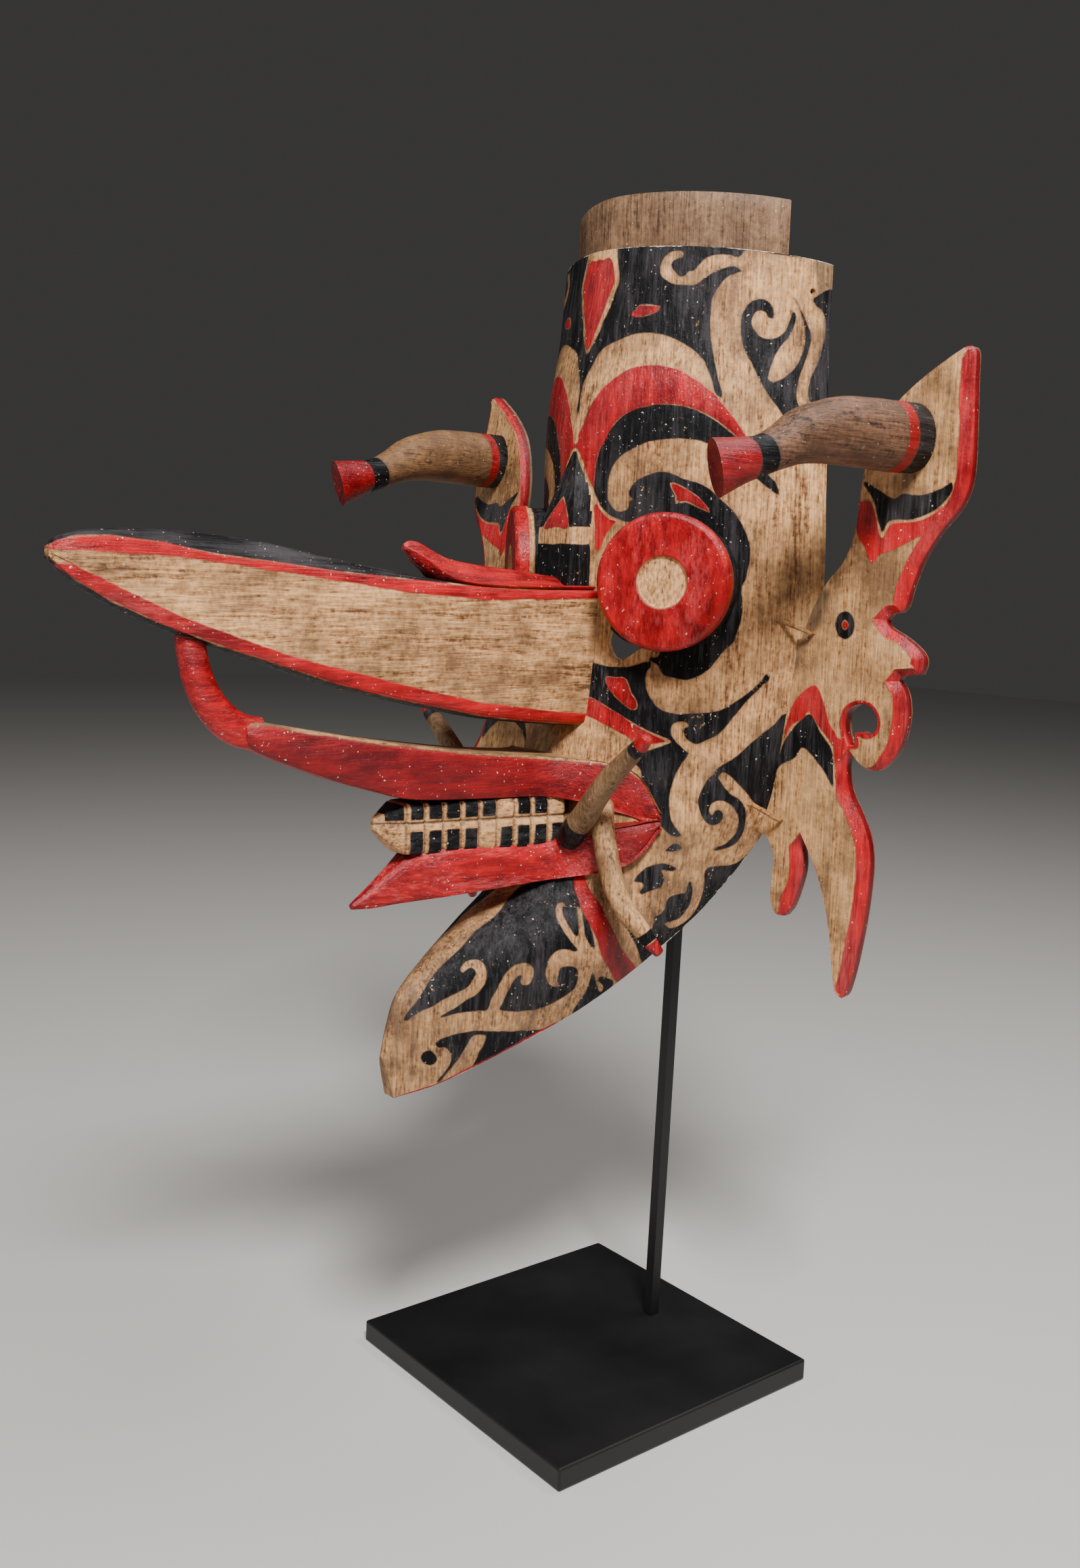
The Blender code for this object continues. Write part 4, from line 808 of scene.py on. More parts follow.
def sections(stations, rows, corners, steps=5):
    """Closed rings along a row of stations: each ring's half is a list of corners worked out from
    the station's numbers, mirrored, then rounded by a smooth curve."""
    table = curve_at(stations, np.linspace(0, len(stations) - 1, rows))
    half = np.array([[column + 0 * table[:, 0] for column in corner] for corner in corners(*table.T[1:])])
    half = half.transpose(2, 0, 1)
    whole = np.concatenate([half, half[:, -2:0:-1] * (-1, 1)], axis=1)
    count = whole.shape[1]
    at = np.arange(count * steps) / steps
    rings = np.array([curve_at(ring, at, closed=True) for ring in whole])
    y = np.broadcast_to(table[:, :1], rings.shape[:2])
    return np.stack([rings[..., 0], y, rings[..., 1]], axis=2) * MM


def snout_corners(half, top, low, rise, keel):
    """Half a section: a low ridge, two flat sides drawn in at their edges, and a keel."""
    return [(0, top + rise), (half * 0.5, top + rise * 0.8), (half * 0.85, top + rise * 0.3),
            (half * 0.97, top), (half, top - 1.5), (half + 0.5, top - 6), (half + 0.8, (top * 2 + low) / 3),
            (half + 0.8, (top + low * 2) / 3), (half + 0.5, low + 5), (half, low + 1.5),
            (half * 0.95, low), (half * 0.8, low - keel * 0.5), (0, low - keel)]


snout = lofted("snout_carving", sections(SNOUT_STATIONS, SNOUT_ROWS, snout_corners))
seat(snout)
snout_points = points_of(snout) / MM
y, z = snout_points[:, 1], snout_points[:, 2]
station_y = -np.array([row[0] for row in SNOUT_STATIONS])
edge_top = np.interp(-y, station_y, [row[2] for row in SNOUT_STATIONS])
edge_low = np.interp(-y, station_y, [row[3] for row in SNOUT_STATIONS])
BAND_Y = -np.array((-42, -112, -173, -241, -307, -363))
BAND_TOP = np.array((533, 531, 535, 543.5, 550.5, 552))
BAND_LOW = np.array((461, 469, 482, 498, 520, 545))
OVER_EDGE, UNDER_EDGE = 0.6, 1.0             # how far the red runs past the snout's two edges
band_top = np.interp(-y, BAND_Y, BAND_TOP)
band_low = np.interp(-y, BAND_Y, BAND_LOW)
snout_red = np.maximum(np.minimum(z - band_top, edge_top + OVER_EDGE - z),
                       np.minimum(band_low - z, z - edge_low + UNDER_EDGE))
snout_black = np.maximum(z - edge_top - OVER_EDGE, edge_low - UNDER_EDGE - z)
mark(snout, red=snout_red, black=snout_black)
dress(snout, painted_finish("snout_finish", grain=(1, 0.06, 1)), "painted_wood", "snout")


# Nose leaf
# A thin wooden leaf lying on the root of the snout, its tip curling up. Hollows run down each side
# of its ridge, and it is red all over.
LEAF_STATIONS = [
    # y, half width, ridge z, edge z
    (-15, 20.5, 545.0, 541.0), (-45, 19.5, 546.0, 541.0), (-80, 17.5, 549.5, 540.5),
    (-110, 15.0, 552.0, 541.0), (-130, 12.5, 555.0, 543.5), (-142, 10.0, 559.5, 549.0),
    (-151, 7.5, 563.5, 555.5), (-158, 4.5, 564.5, 559.5), (-162, 1.8, 562.5, 561.0),
]


def leaf_corners(half, ridge, edge):
    """Half a section: a ridge, a hollow beside it and a thin edge."""
    low = np.minimum(6.0, half)
    return [(0, ridge), (half * 0.15, ridge * 0.9 + edge * 0.1), (half * 0.35, ridge * 0.6 + edge * 0.4),
            (half * 0.6, ridge * 0.2 + edge * 0.8 - 0.8), (half * 0.85, edge - 0.3), (half, edge),
            (half, edge - 1.5), (half * 0.5, edge - low), (0, edge - low)]


leaf = lofted("nose_leaf_carving", sections(LEAF_STATIONS, 120, leaf_corners))
snout_block = lofted("snout_block", sections(SNOUT_STATIONS, 60, snout_corners, 2) + (0, 0, 0.0003))
carve(leaf, snout_block)
seat(leaf)
mark(leaf, red=PAINTED)
red_finish = painted_finish("red_finish", grain=(1, 0.1, 1))
dress(leaf, red_finish, "red_wood", "nose_leaf")


# Mouth
# Two lips and two rows of teeth, carved from one block and spread at the back to the cheeks. The
# lips are red with a bare worn edge on top; the teeth are bare, some stained black.
UPPER_LIP = [
    # y, half width, upper z, lower z
    (-266, 6.5, 461, 450), (-255, 9.5, 461, 443), (-222, 13, 455, 430), (-187, 16.5, 449, 419),
    (-160, 18.5, 445, 413), (-115, 22, 439, 411), (-75, 26, 435.5, 410), (-56, 35, 434, 408),
    (-42, 47, 433, 404), (-30, 58, 429, 400), (-23, 64.5, 422, 397), (-18, 69, 411, 396),
    (-14, 71, 402, 396),
]
LOWER_LIP = [
    (-194, 1.6, 351, 347.5), (-181, 3.8, 360, 347), (-167, 6.5, 370.5, 348), (-153, 10, 380.5, 349.5),
    (-143, 14, 381, 350.7), (-129, 18, 381, 352), (-75, 26, 381, 356), (-62, 36, 383, 359),
    (-52, 48, 387, 362.5), (-42, 58, 392, 366), (-32, 66, 395, 371.5), (-23, 70, 397, 380),
    (-15, 72.5, 398, 392),
]
TEETH_TOP, TEETH_SPLIT, TEETH_LOW = 410.0, 398.0, 379.0
TEETH_FRONT, TEETH_POINT, TEETH_PITCH, TEETH_COUNT = -180.6, 17.6, 12.0, 9
TEETH_HALF_FRONT, TEETH_HALF_BACK = 9.5, 29.0
GROOVE_WIDTH, GROOVE_DEPTH, SPLIT_DEPTH = 1.3, 1.8, 1.6
UPPER_STAINED = (0, 1, 2, 3, 4, 5, 7, 8)
LOWER_STAINED = (1, 2, 3, 4, 6, 7, 8, 9)
STAIN_FROM_GAP, UPPER_FROM_SPLIT, LOWER_FROM_SPLIT = 1.7, 2.0, 4.5
WORN_LIP_EDGE = 1.4
UPPER_LIP_DARK_AND_SHADE = (-266, -230, -110, -50), (0.7, 1, 0.9, 0.5)   # places along y, shares of darker red and painted shade


def lip_corners(crest):
    """Half a lip's section, widest at the crest, a share of the way up, with bevelled edges."""
    def corners(half, top, low):
        """The corners from the middle of the top, round the outer edge, to the middle below."""
        middle = low + (top - low) * crest
        bevel = np.minimum(np.minimum(2.0, (top - low) * 0.2), half * 0.3)
        return [(0, top), (half * 0.2, top), (half - 2 * bevel, top), (half - bevel, top),
                (half, top - bevel), (half + 0.6, top - 2 * bevel), (half + 1, middle),
                (half - 0.5 * bevel, low + bevel), (half - 2 * bevel, low), (half * 0.2, low), (0, low)]
    return corners


def filled(rings):
    """Adds ever smaller rings inside the last one, so that a piece's wide end follows the face."""
    middle = rings[-1].mean(axis=0)
    return np.concatenate([rings, [middle + (rings[-1] - middle) * tenths / 10
                                   for tenths in range(9, 0, -1)]])


upper_lip = lofted("upper_lip", filled(sections(UPPER_LIP, 240, lip_corners(0.45))))
lower_lip = lofted("lower_lip", filled(sections(LOWER_LIP, 200, lip_corners(0.6))))
teeth_length = TEETH_POINT + TEETH_PITCH * TEETH_COUNT
along = np.linspace(0, teeth_length, 340)
half = TEETH_HALF_FRONT + (TEETH_HALF_BACK - TEETH_HALF_FRONT) * along / teeth_length


def gap_distance(along):
    """Distance to the nearest groove between two teeth, for a place along the rows."""
    behind = along - TEETH_POINT
    nearest = np.clip(np.round(behind / TEETH_PITCH), 0, TEETH_COUNT)
    return np.abs(behind - nearest * TEETH_PITCH)


dip = GROOVE_DEPTH * np.exp(-(gap_distance(along) / GROOVE_WIDTH) ** 2)
closing = np.minimum(1, 0.12 + 0.88 * along / TEETH_POINT) ** 0.8
half = (half - dip) * closing
top = TEETH_SPLIT + (TEETH_TOP - TEETH_SPLIT) * closing
low = TEETH_SPLIT - (TEETH_SPLIT - TEETH_LOW) * closing
split_dip = SPLIT_DEPTH * closing
corners = [(0 * half, top), (half - 3 * closing, top), (half - 0.9 * closing, top - 1.2 * closing),
           (half, top - 4 * closing), (half, (top + TEETH_SPLIT) / 2),
           (half - 0.3, TEETH_SPLIT + 1.8 * closing), (half - split_dip, TEETH_SPLIT + 0 * half),
           (half - 0.3, TEETH_SPLIT - 1.8 * closing), (half, (low + TEETH_SPLIT) / 2),
           (half, low + 4 * closing), (half - 0.9 * closing, low + 1.2 * closing),
           (half - 3 * closing, low), (0 * half, low)]
ring = np.array(corners).transpose(2, 0, 1)
ring = np.concatenate([ring, ring[:, -2:0:-1] * (-1, 1)], axis=1)
ring = np.array([curve_at(row, np.arange(ring.shape[1] * 4) / 4, closed=True) for row in ring])
teeth_rings = np.stack([ring[..., 0], np.broadcast_to((TEETH_FRONT + along)[:, None], ring.shape[:2]),
                        ring[..., 1]], axis=2) * MM
teeth = lofted("teeth", teeth_rings)
for piece in (upper_lip, lower_lip, teeth):
    seat(piece)

lip_points = points_of(upper_lip) / MM
lip_y, _, lip_tops, _ = np.array(UPPER_LIP, float).T
lip_top = np.interp(lip_points[:, 1], lip_y, lip_tops)
under_top = lip_top - lip_points[:, 2]
# Below its bare top edge the upper lip is darkened, partly as a darker red and partly as painted shade.
mark(upper_lip, red=under_top - WORN_LIP_EDGE,
     soil=np.clip(0.8 - np.abs(under_top - 12) / 50, 0, 0.75)
     * np.interp(lip_points[:, 1], *UPPER_LIP_DARK_AND_SHADE))
# Painted shade on the back of the lower lip, at the mouth's corner.
lip_back = points_of(lower_lip)[:, 1] / MM
mark(lower_lip, red=PAINTED, soil=0.6 * np.clip((lip_back + 62) / 30, 0, 1))
teeth_points = points_of(teeth) / MM
teeth_along = teeth_points[:, 1] - TEETH_FRONT
tooth = np.floor((teeth_along - TEETH_POINT) / TEETH_PITCH).astype(int) + 1
from_split = teeth_points[:, 2] - TEETH_SPLIT
upper_row = from_split > 0
stained = np.where(upper_row, np.isin(tooth, UPPER_STAINED), np.isin(tooth, LOWER_STAINED))
gap = np.where(tooth == 0, TEETH_POINT - teeth_along, gap_distance(teeth_along))
inside_tooth = np.minimum(gap - STAIN_FROM_GAP, np.where(upper_row, from_split - UPPER_FROM_SPLIT,
                                                         -from_split - LOWER_FROM_SPLIT))
in_stain = stained & (inside_tooth > 0)
# Painted shade in the grooves between the teeth and along the split between the two rows.
crevice_shade = np.maximum(1 - np.abs(from_split) / 1.3, 0.9 - gap / 1.1)
mark(teeth, black=np.where(stained, inside_tooth, -5),
     soil=np.where(in_stain, np.where(upper_row, 0.8, 0.1), np.clip(crevice_shade, 0.12, 1)))
# The upper lip's red gets little of the chalky pink and the lower lip's almost all of it: wear, and a
# painted highlight on the lit lower lip.
dress(upper_lip, painted_finish("upper_lip_finish", grain=(1, 0.1, 1), red_gloss=0.38, chalk_and_sheen=0.12),
      "red_wood", "mouth")
dress(lower_lip, painted_finish("lip_finish", grain=(1, 0.1, 1), red_gloss=0.34, chalk_and_sheen=0.95), "red_wood")
dress(teeth, painted_finish("teeth_finish", grain=(1, 0.2, 1), stains=0.4), "painted_wood")


# Tongue hook
# A round bar of wood that curls from the upper lip's tip up to the snout, pegged and filled at the
# lip. It is red all over.
HOOK_PATH = [
    # y, z, half height
    (-297, 517, 8.5), (-296, 505, 8.5), (-294.5, 496, 8.5), (-291.5, 485, 8.8), (-285.5, 473, 9.2),
    (-277, 463.5, 9.5), (-268, 457.5, 9.5), (-256, 454.5, 9.5),
]
HOOK_HALF_WIDTH, HOOK_AROUND, HOOK_ALONG = 6.5, 40, 90


def tube(path, half_across, half_up, across, around=32):
    """Oval rings along a path: cosine times one half length sideways, sine times the other."""
    ahead = np.gradient(path, axis=0)
    ahead /= np.linalg.norm(ahead, axis=1)[:, None]
    sideways = across - (ahead @ across)[:, None] * ahead
    sideways /= np.linalg.norm(sideways, axis=1)[:, None]
    upwards = np.cross(ahead, sideways)
    turn = np.linspace(0, 2 * np.pi, around, endpoint=False)[None, :, None]
    return (path[:, None] + sideways[:, None] * np.cos(turn) * np.reshape(half_across, (-1, 1, 1))
            + upwards[:, None] * np.sin(turn) * np.reshape(half_up, (-1, 1, 1)))


hook_rows = curve_at(HOOK_PATH, np.linspace(0, len(HOOK_PATH) - 1, HOOK_ALONG))
hook_path = np.column_stack([0 * hook_rows[:, 0], hook_rows[:, 0], hook_rows[:, 1]]) * MM
hook = lofted("hook", tube(hook_path, np.full(HOOK_ALONG, HOOK_HALF_WIDTH * MM), hook_rows[:, 2] * MM,
                           np.array((1.0, 0, 0)), HOOK_AROUND))
carve(hook, snout_block)
mark(hook, red=PAINTED)
dress(hook, red_finish, "red_wood", "tongue_hook")


# Eyes
# Two drums of wood set into the cheeks and turned outwards, each with a wide glossy red ring round
# a sunk bare pupil, and black behind the red of its side.
EYE_PROFILE = [
    # radius, depth in front of the face
    (0, -1.6), (8, -1.7), (13.5, -1.9), (14.6, -1.7), (15.4, -0.7), (16.4, -0.1), (18, 0.0), (28, 0.0),
    (38, -0.1), (39.6, -0.5), (41, -1.3), (41.8, -2.6), (42, -4.2), (42, -9.6), (41.6, -10.4),
    (40.9, -10.8), (40.8, -12), (40.8, -27), (40.8, -42),
]
PUPIL_EDGE, DRUM_RED_END, DRUM_BLACK_START = 15.6, 9.5, 13.0
for side, word in ((1, "left"), (-1, "right")):
    profile = curve_at(EYE_PROFILE, np.linspace(0, len(EYE_PROFILE) - 1, 110))
    turn = np.linspace(0, 2 * np.pi, 144, endpoint=False)
    rings = eye_place(side, np.maximum(profile[:, :1], 0.0), turn[None, :], profile[:, 1:])
    eye = lofted("eye_drum_" + word, rings, sharp=50)
    seat(eye)
    points = points_of(eye) / MM - np.array((side * EYE_CENTRE[0], EYE_CENTRE[1], EYE_HEIGHT[side]))
    out = np.array((side * np.sin(EYE_TURN), -np.cos(EYE_TURN), 0.0))
    depth = points @ out
    radius = np.linalg.norm(points - depth[:, None] * out, axis=1)
    mark(eye, red=np.minimum(radius - PUPIL_EDGE, depth + DRUM_RED_END), black=-DRUM_BLACK_START - depth)
    dress(eye, painted_finish("eye_finish_" + word, grain=(1, 1, 0.3), red_gloss=0.24, stains=0.3),
          "painted_wood", "eye_" + word)


# Ears
# Two boards sawn to leaf and scroll outlines and lashed to the head's sides. The front edge is
# chamfered and painted red; chevrons and a dot are painted on the bare face.
EAR_PLACES = {                # joint x, joint y, sweep back, lean back
    1: (118.0, 53.0, np.radians(11), 0.0),
    -1: (118.0, 33.4, np.radians(2.3), np.radians(8.4)),
}
EAR_LEVEL, EAR_THICK, EAR_CHAMFER = 550.0, 10.5, 4.5
EAR_INSET, EAR_OUTER_INSET = 1.5, 7.5
RIGHT_WIDER, RIGHT_SPLAY, RIGHT_FULL = 7.0, 0.042, 30.0
LOBE_LEVEL, RIGHT_LOBE_SHARE = 437.0, 0.9
EAR_OUTLINE = [
    (-24, 500), (-12, 513), (1, 514), (5, 528), (11, 541), (17, 551), (25, 560), (30, 571),
    (33, 584), (34, 600), (36, 615), (41, 631), (48, 645), (56, 655), (65, 663), (75, 670.5),
    (86, 677.5), (94, 682), (98, 682), (100.5, 678), (101, 663), (102.2, 640), (102.7, 611),
    (98, 594), (87, 580), (77, 564), (71, 548), (68, 536), (65, 532), (59, 531), (56, 527),
    (58.5, 522.5), (69, 517), (79, 509.5), (82, 503), (80, 496), (68, 494.5), (66.5, 491.5),
    (70, 487), (72.5, 480), (73.5, 470), (72, 459), (68.5, 449), (63, 441.5), (57, 437),
    (50, 436.5), (44, 440), (38.5, 446), (35.5, 437), (38.5, 422), (46.5, 408), (53, 394),
    (55.5, 378), (55, 361), (53.5, 343), (51.5, 328), (49.5, 315), (47, 303), (44.5, 295),
    (41.5, 292), (38.5, 294), (36, 301), (33.5, 315), (31, 332), (27, 349), (22.5, 362),
    (17, 374.5), (8.5, 390), (8, 383), (9.5, 373), (8.8, 364), (6, 353), (2.5, 343), (-2, 337),
    (-6, 336.5), (-10, 340), (-12.5, 350), (-12, 363), (-11.5, 373), (-14, 381), (-19, 386.5),
    (-34, 389), (-36, 403), (-32, 430), (-28, 460), (-24, 485),
]
EAR_HOLE = [
    (34, 467), (36, 472), (40.5, 475.3), (47, 476), (52, 473.5), (55.3, 468.4), (55.6, 463),
    (53.5, 459.5), (49, 457.8), (45, 459), (42.2, 458.6), (41.8, 455), (42.6, 451.2),
    (37.5, 450.5), (34.6, 458),
]
EAR_GRID, EAR_BACK_GRID = 1.3, 4.0
EAR_FACE, HOLE_CHAMFER, HOLE_RED = 0.3, 1.2, 2.6
EAR_UPPER_BLACK = [
    (1275, 712), (1290, 740), (1302.5, 787.5), (1315, 770), (1350, 767.5), (1380, 755), (1405, 730),
    (1406, 712.5), (1390, 722.5), (1360, 732.5), (1335, 730), (1320, 737), (1300, 725),
]
EAR_UPPER_RED = [
    (1272, 745), (1265, 785), (1277.5, 810), (1287.5, 832.5), (1300, 820), (1325, 810), (1370, 785),
    (1385, 765), (1392, 748), (1380, 759), (1352, 771), (1317, 774), (1302, 794), (1289, 745),
]
EAR_DOT = [
    (1263, 924), (1259, 939), (1248.5, 945.5), (1238, 939), (1234, 924), (1238, 909), (1248.5, 902.5),
    (1259, 909),
]
EAR_DOT_RED = [(1253.5, 924), (1248.5, 931), (1243.5, 924), (1248.5, 917)]
EAR_LOWER_RED = [
    (1203.5, 1012.5), (1175, 1035), (1162.5, 1065), (1159, 1092), (1170, 1072), (1187.5, 1062),
    (1195, 1052), (1207.5, 1072), (1222.5, 1092), (1233, 1104), (1235, 1085), (1225, 1070), (1217.5, 1040),
]
EAR_LOWER_BLACK = [
    (1195, 1055), (1165, 1085), (1152.5, 1110), (1140, 1147), (1155, 1130), (1175, 1120), (1185, 1105),
    (1200, 1117), (1217.5, 1142), (1231, 1165), (1231, 1130), (1227.5, 1105), (1212.5, 1082),
]
# The outline of a painted shadow that the head's rim casts on the ear.
EAR_SEAM_SHADOW = [
    (1222, 880), (1200, 930), (1165, 1010), (1142, 1075), (1128, 1140), (1118, 1210), (1110, 1240),
    (1092, 1240), (1098, 1200), (1110, 1130), (1124, 1070), (1146, 1005), (1180, 925), (1202, 880),
]
EAR_BLADE_RED = [
    (1228, 1090), (1231, 1105), (1240, 1180), (1257.5, 1220), (1264, 1265), (1262.5, 1340), (1250, 1400),
    (1237.5, 1465), (1260, 1470), (1300, 1350), (1300, 1200), (1260, 1120), (1245, 1095),
]
EAR_RED = [("+", EAR_UPPER_RED), ("+", EAR_DOT_RED), ("+", EAR_LOWER_RED), ("+", EAR_BLADE_RED)]
EAR_BLACK = [("+", EAR_UPPER_BLACK), ("+", EAR_DOT), ("-", EAR_DOT_RED), ("+", EAR_LOWER_BLACK)]


def ear_points(side, flat, back):
    """Places distances out along an ear and heights, so far behind its front face, in metres."""
    x, y, sweep, lean = EAR_PLACES[side]
    back = back + (flat[:, 1] - EAR_LEVEL) * np.tan(lean)
    return np.column_stack([side * (x + flat[:, 0] * np.cos(sweep) - back * np.sin(sweep)),
                            y + flat[:, 0] * np.sin(sweep) + back * np.cos(sweep), flat[:, 1]]) * MM


def ear_cut(side, outline):
    """The right ear is cut wider than the left one, and with a shorter lobe."""
    rows = np.array(outline, float)
    if side < 0:
        share = np.clip(rows[:, 0] / RIGHT_FULL, 0, 1)
        rows[:, 0] += share * (RIGHT_WIDER + (EAR_LEVEL - rows[:, 1]) * RIGHT_SPLAY)
        rows[:, 1] += np.maximum(0, LOBE_LEVEL - rows[:, 1]) * (1 - RIGHT_LOBE_SHARE)
    return rows


def ear_uncut(side, places):
    """The same places on the left ear's outline: the change above undone."""
    rows = np.array(places, float)
    if side < 0:
        low = rows[:, 1] < LOBE_LEVEL
        rows[low, 1] = LOBE_LEVEL - (LOBE_LEVEL - rows[low, 1]) / RIGHT_LOBE_SHARE
        wider = RIGHT_WIDER + (EAR_LEVEL - rows[:, 1]) * RIGHT_SPLAY
        full = rows[:, 0] > RIGHT_FULL + wider
        part = (rows[:, 0] > 0) & ~full
        rows[full, 0] -= wider[full]
        rows[part, 0] *= (RIGHT_FULL / (RIGHT_FULL + wider))[part]
    return rows


def inset_outline(outline):
    """Moves each corner inwards along its own bisector, further where it faces outwards."""
    rows = np.asarray(outline, float)
    before = rows - np.roll(rows, 1, axis=0)
    after = np.roll(rows, -1, axis=0) - rows
    before /= np.linalg.norm(before, axis=1)[:, None]
    after /= np.linalg.norm(after, axis=1)[:, None]
    area = np.sum(rows[:, 0] * np.roll(rows[:, 1], -1) - rows[:, 1] * np.roll(rows[:, 0], -1))
    inward = np.sign(area) * np.column_stack([-(before + after)[:, 1], (before + after)[:, 0]])
    inward /= np.maximum(np.linalg.norm(inward, axis=1)[:, None], 1e-6)
    outer = np.clip(-inward[:, :1], 0, 1)
    return rows + inward * (EAR_INSET + (EAR_OUTER_INSET - EAR_INSET) * outer)


SHARP_TURN = 42               # degrees


def smooth_outline(outline, steps):
    """A smooth closed curve through the corners, left sharp where it turns by more than SHARP_TURN:
    Cubic pieces, whose slope at a point is half the way between its neighbours, or nothing."""
    rows = np.asarray(outline, float)
    ahead = np.roll(rows, -1, axis=0) - rows
    behind = np.roll(ahead, 1, axis=0)
    lengths = np.linalg.norm(ahead, axis=1) * np.linalg.norm(behind, axis=1)
    bend = np.degrees(np.arccos(np.clip(np.sum(ahead * behind, axis=1) / lengths, -1, 1)))
    slope = np.where(bend[:, None] > SHARP_TURN, 0.0, (ahead + behind) / 2)
    t = (np.arange(steps) / steps)[None, :, None]
    start, end = rows[:, None], np.roll(rows, -1, axis=0)[:, None]
    leaving, arriving = slope[:, None], np.roll(slope, -1, axis=0)[:, None]
    curve = ((2 * t ** 3 - 3 * t ** 2 + 1) * start + (t ** 3 - 2 * t ** 2 + t) * leaving
             + (3 * t ** 2 - 2 * t ** 3) * end + (t ** 3 - t ** 2) * arriving)
    return curve.reshape(-1, 2)


def board_sheet(outline, hole, spacing):
    """Points and triangles of a flat face: its two outlines and a grid of points between them."""
    low, high = outline.min(0), outline.max(0)
    grid = np.stack(np.meshgrid(np.arange(low[0], high[0], spacing), np.arange(low[1], high[1], spacing)),
                    axis=2).reshape(-1, 2)
    free = spacing * 0.6
    clear = (outline_distance(grid, outline, 1) > free) & (outline_distance(grid, hole, 1) < -free)
    points = np.vstack([outline, hole, grid[clear]])
    ring = np.arange(len(outline))
    inner = np.arange(len(hole)) + len(outline)
    edges = np.vstack([np.column_stack([ring, np.roll(ring, -1)]),
                       np.column_stack([inner, np.roll(inner, -1)])]).tolist()
    verts, _, faces, _, _, _ = delaunay_2d_cdt(points.tolist(), edges, [], 0, 1e-7)
    verts = np.array([[*vert] for vert in verts])
    faces = np.array(faces)
    middle = verts[faces].mean(axis=1)
    kept = (outline_distance(middle, outline, 1) > 0) & (outline_distance(middle, hole, 1) < 0)
    return verts, faces[kept].tolist()


HOLE_FLARE = 0.06             # how much wider the scroll's hole is at its chamfer's front
BARE_EDGE = 30, 395, 560      # no red nearer the head than this, between these heights
BARE_AT_EDGE, BARE_BEHIND, BARE_BESIDE = -4, -3, -5
# The most painted shade on an ear, along the head's rim and behind the chamfer.
EAR_SHADE_MOST = 0.75
EAR_TONES = (0.66, 0.37, 0.165, 1), (0.42, 0.21, 0.082, 1), (0.13, 0.055, 0.02, 1)
ear_finish = painted_finish("ear_finish", red_gloss=0.32, tones=EAR_TONES)


def ear_board(side, word):
    """One ear's board: a flat front and back, chamfered edges and the scroll's hole. The inner edge
    of its chamfer and the hole come back too."""
    outer = smooth_outline(ear_cut(side, EAR_OUTLINE), 4)
    inner = smooth_outline(inset_outline(ear_cut(side, EAR_OUTLINE)), 4)
    hole = smooth_outline(ear_cut(side, EAR_HOLE), 4)
    hole_front = hole + (hole - hole.mean(0)) * HOLE_FLARE
    front, front_faces = board_sheet(inner, hole_front, EAR_GRID)
    back, back_faces = board_sheet(outer, hole, EAR_BACK_GRID)
    chunks = [ear_points(side, front, EAR_FACE), ear_points(side, back, EAR_THICK)]
    faces = front_faces + [[corner + len(front) for corner in face] for face in back_faces]
    base = len(front) + len(back)
    for start, end, chamfer in ((inner, outer, EAR_CHAMFER), (hole_front, hole, HOLE_CHAMFER)):
        rows = [(start * (1 - share) + end * share, EAR_FACE + (chamfer - EAR_FACE) * share)
                for share in (0, 0.12, 0.5, 0.88, 1)]
        rows += [(end, chamfer + (EAR_THICK - chamfer) * share) for share in (0.08, 0.5, 1)]
        chunks += [ear_points(side, flat, depth) for flat, depth in rows]
        faces += (np.array(ring_faces(len(rows), len(start))) + base).tolist()
        base += len(rows) * len(start)
    ear = piece_from("ear_board_" + word, np.vstack(chunks), faces, sharp=30)
    return carve(ear, face_block, sharp=30), inner, hole


def paint_ear(ear, side, inner, hole):
    """Red on the chamfers, the motifs on the front, and painted shade on the sides, the back and along the
    head's rim.
    """
    x, y, sweep, lean = EAR_PLACES[side]
    local = points_of(ear) / MM * (side, 1, 1) - (x, y, 0)
    out = local[:, 0] * np.cos(sweep) + local[:, 1] * np.sin(sweep)
    depth = local[:, 1] * np.cos(sweep) - local[:, 0] * np.sin(sweep)
    depth -= (local[:, 2] - EAR_LEVEL) * np.tan(lean)
    flat = np.column_stack([out, local[:, 2]])
    pixels = photo_pixels(ear_points(1, ear_uncut(side, flat), 0 * out))
    edge_red = -outline_distance(flat, inner, 1)
    near_head, bare_low, bare_high = BARE_EDGE
    bare = (out < near_head) & (flat[:, 1] > bare_low) & (flat[:, 1] < bare_high)
    edge_red = np.where(bare, BARE_AT_EDGE, edge_red)
    hole_red = HOLE_RED + outline_distance(flat, hole, 1)
    motif_red = painted(pixels, EAR_RED) / PIXELS_PER_MM
    red = np.maximum(np.maximum(motif_red, edge_red), hole_red)
    black = painted(pixels, EAR_BLACK) / PIXELS_PER_MM
    # A painted shadow where the head's rim lies over the ear, and painted shade on the edges and back
    # behind the chamfer.
    seam_shadow = np.clip(EAR_SHADE_MOST + painted(pixels, [("+", EAR_SEAM_SHADOW)]) / 14, 0, EAR_SHADE_MOST)
    behind = np.clip((depth - EAR_CHAMFER + 0.4) / 1.5, 0, EAR_SHADE_MOST)
    mark(ear, red=np.where(depth > EAR_THICK - 0.5, BARE_BEHIND, red),
         black=np.where(depth < 0.6, black, BARE_BESIDE), soil=np.maximum(behind, seam_shadow))


for side, word in ((1, "left"), (-1, "right")):
    ear, inner, hole = ear_board(side, word)
    paint_ear(ear, side, inner, hole)
    dress(ear, ear_finish, "painted_wood", "ear_" + word)


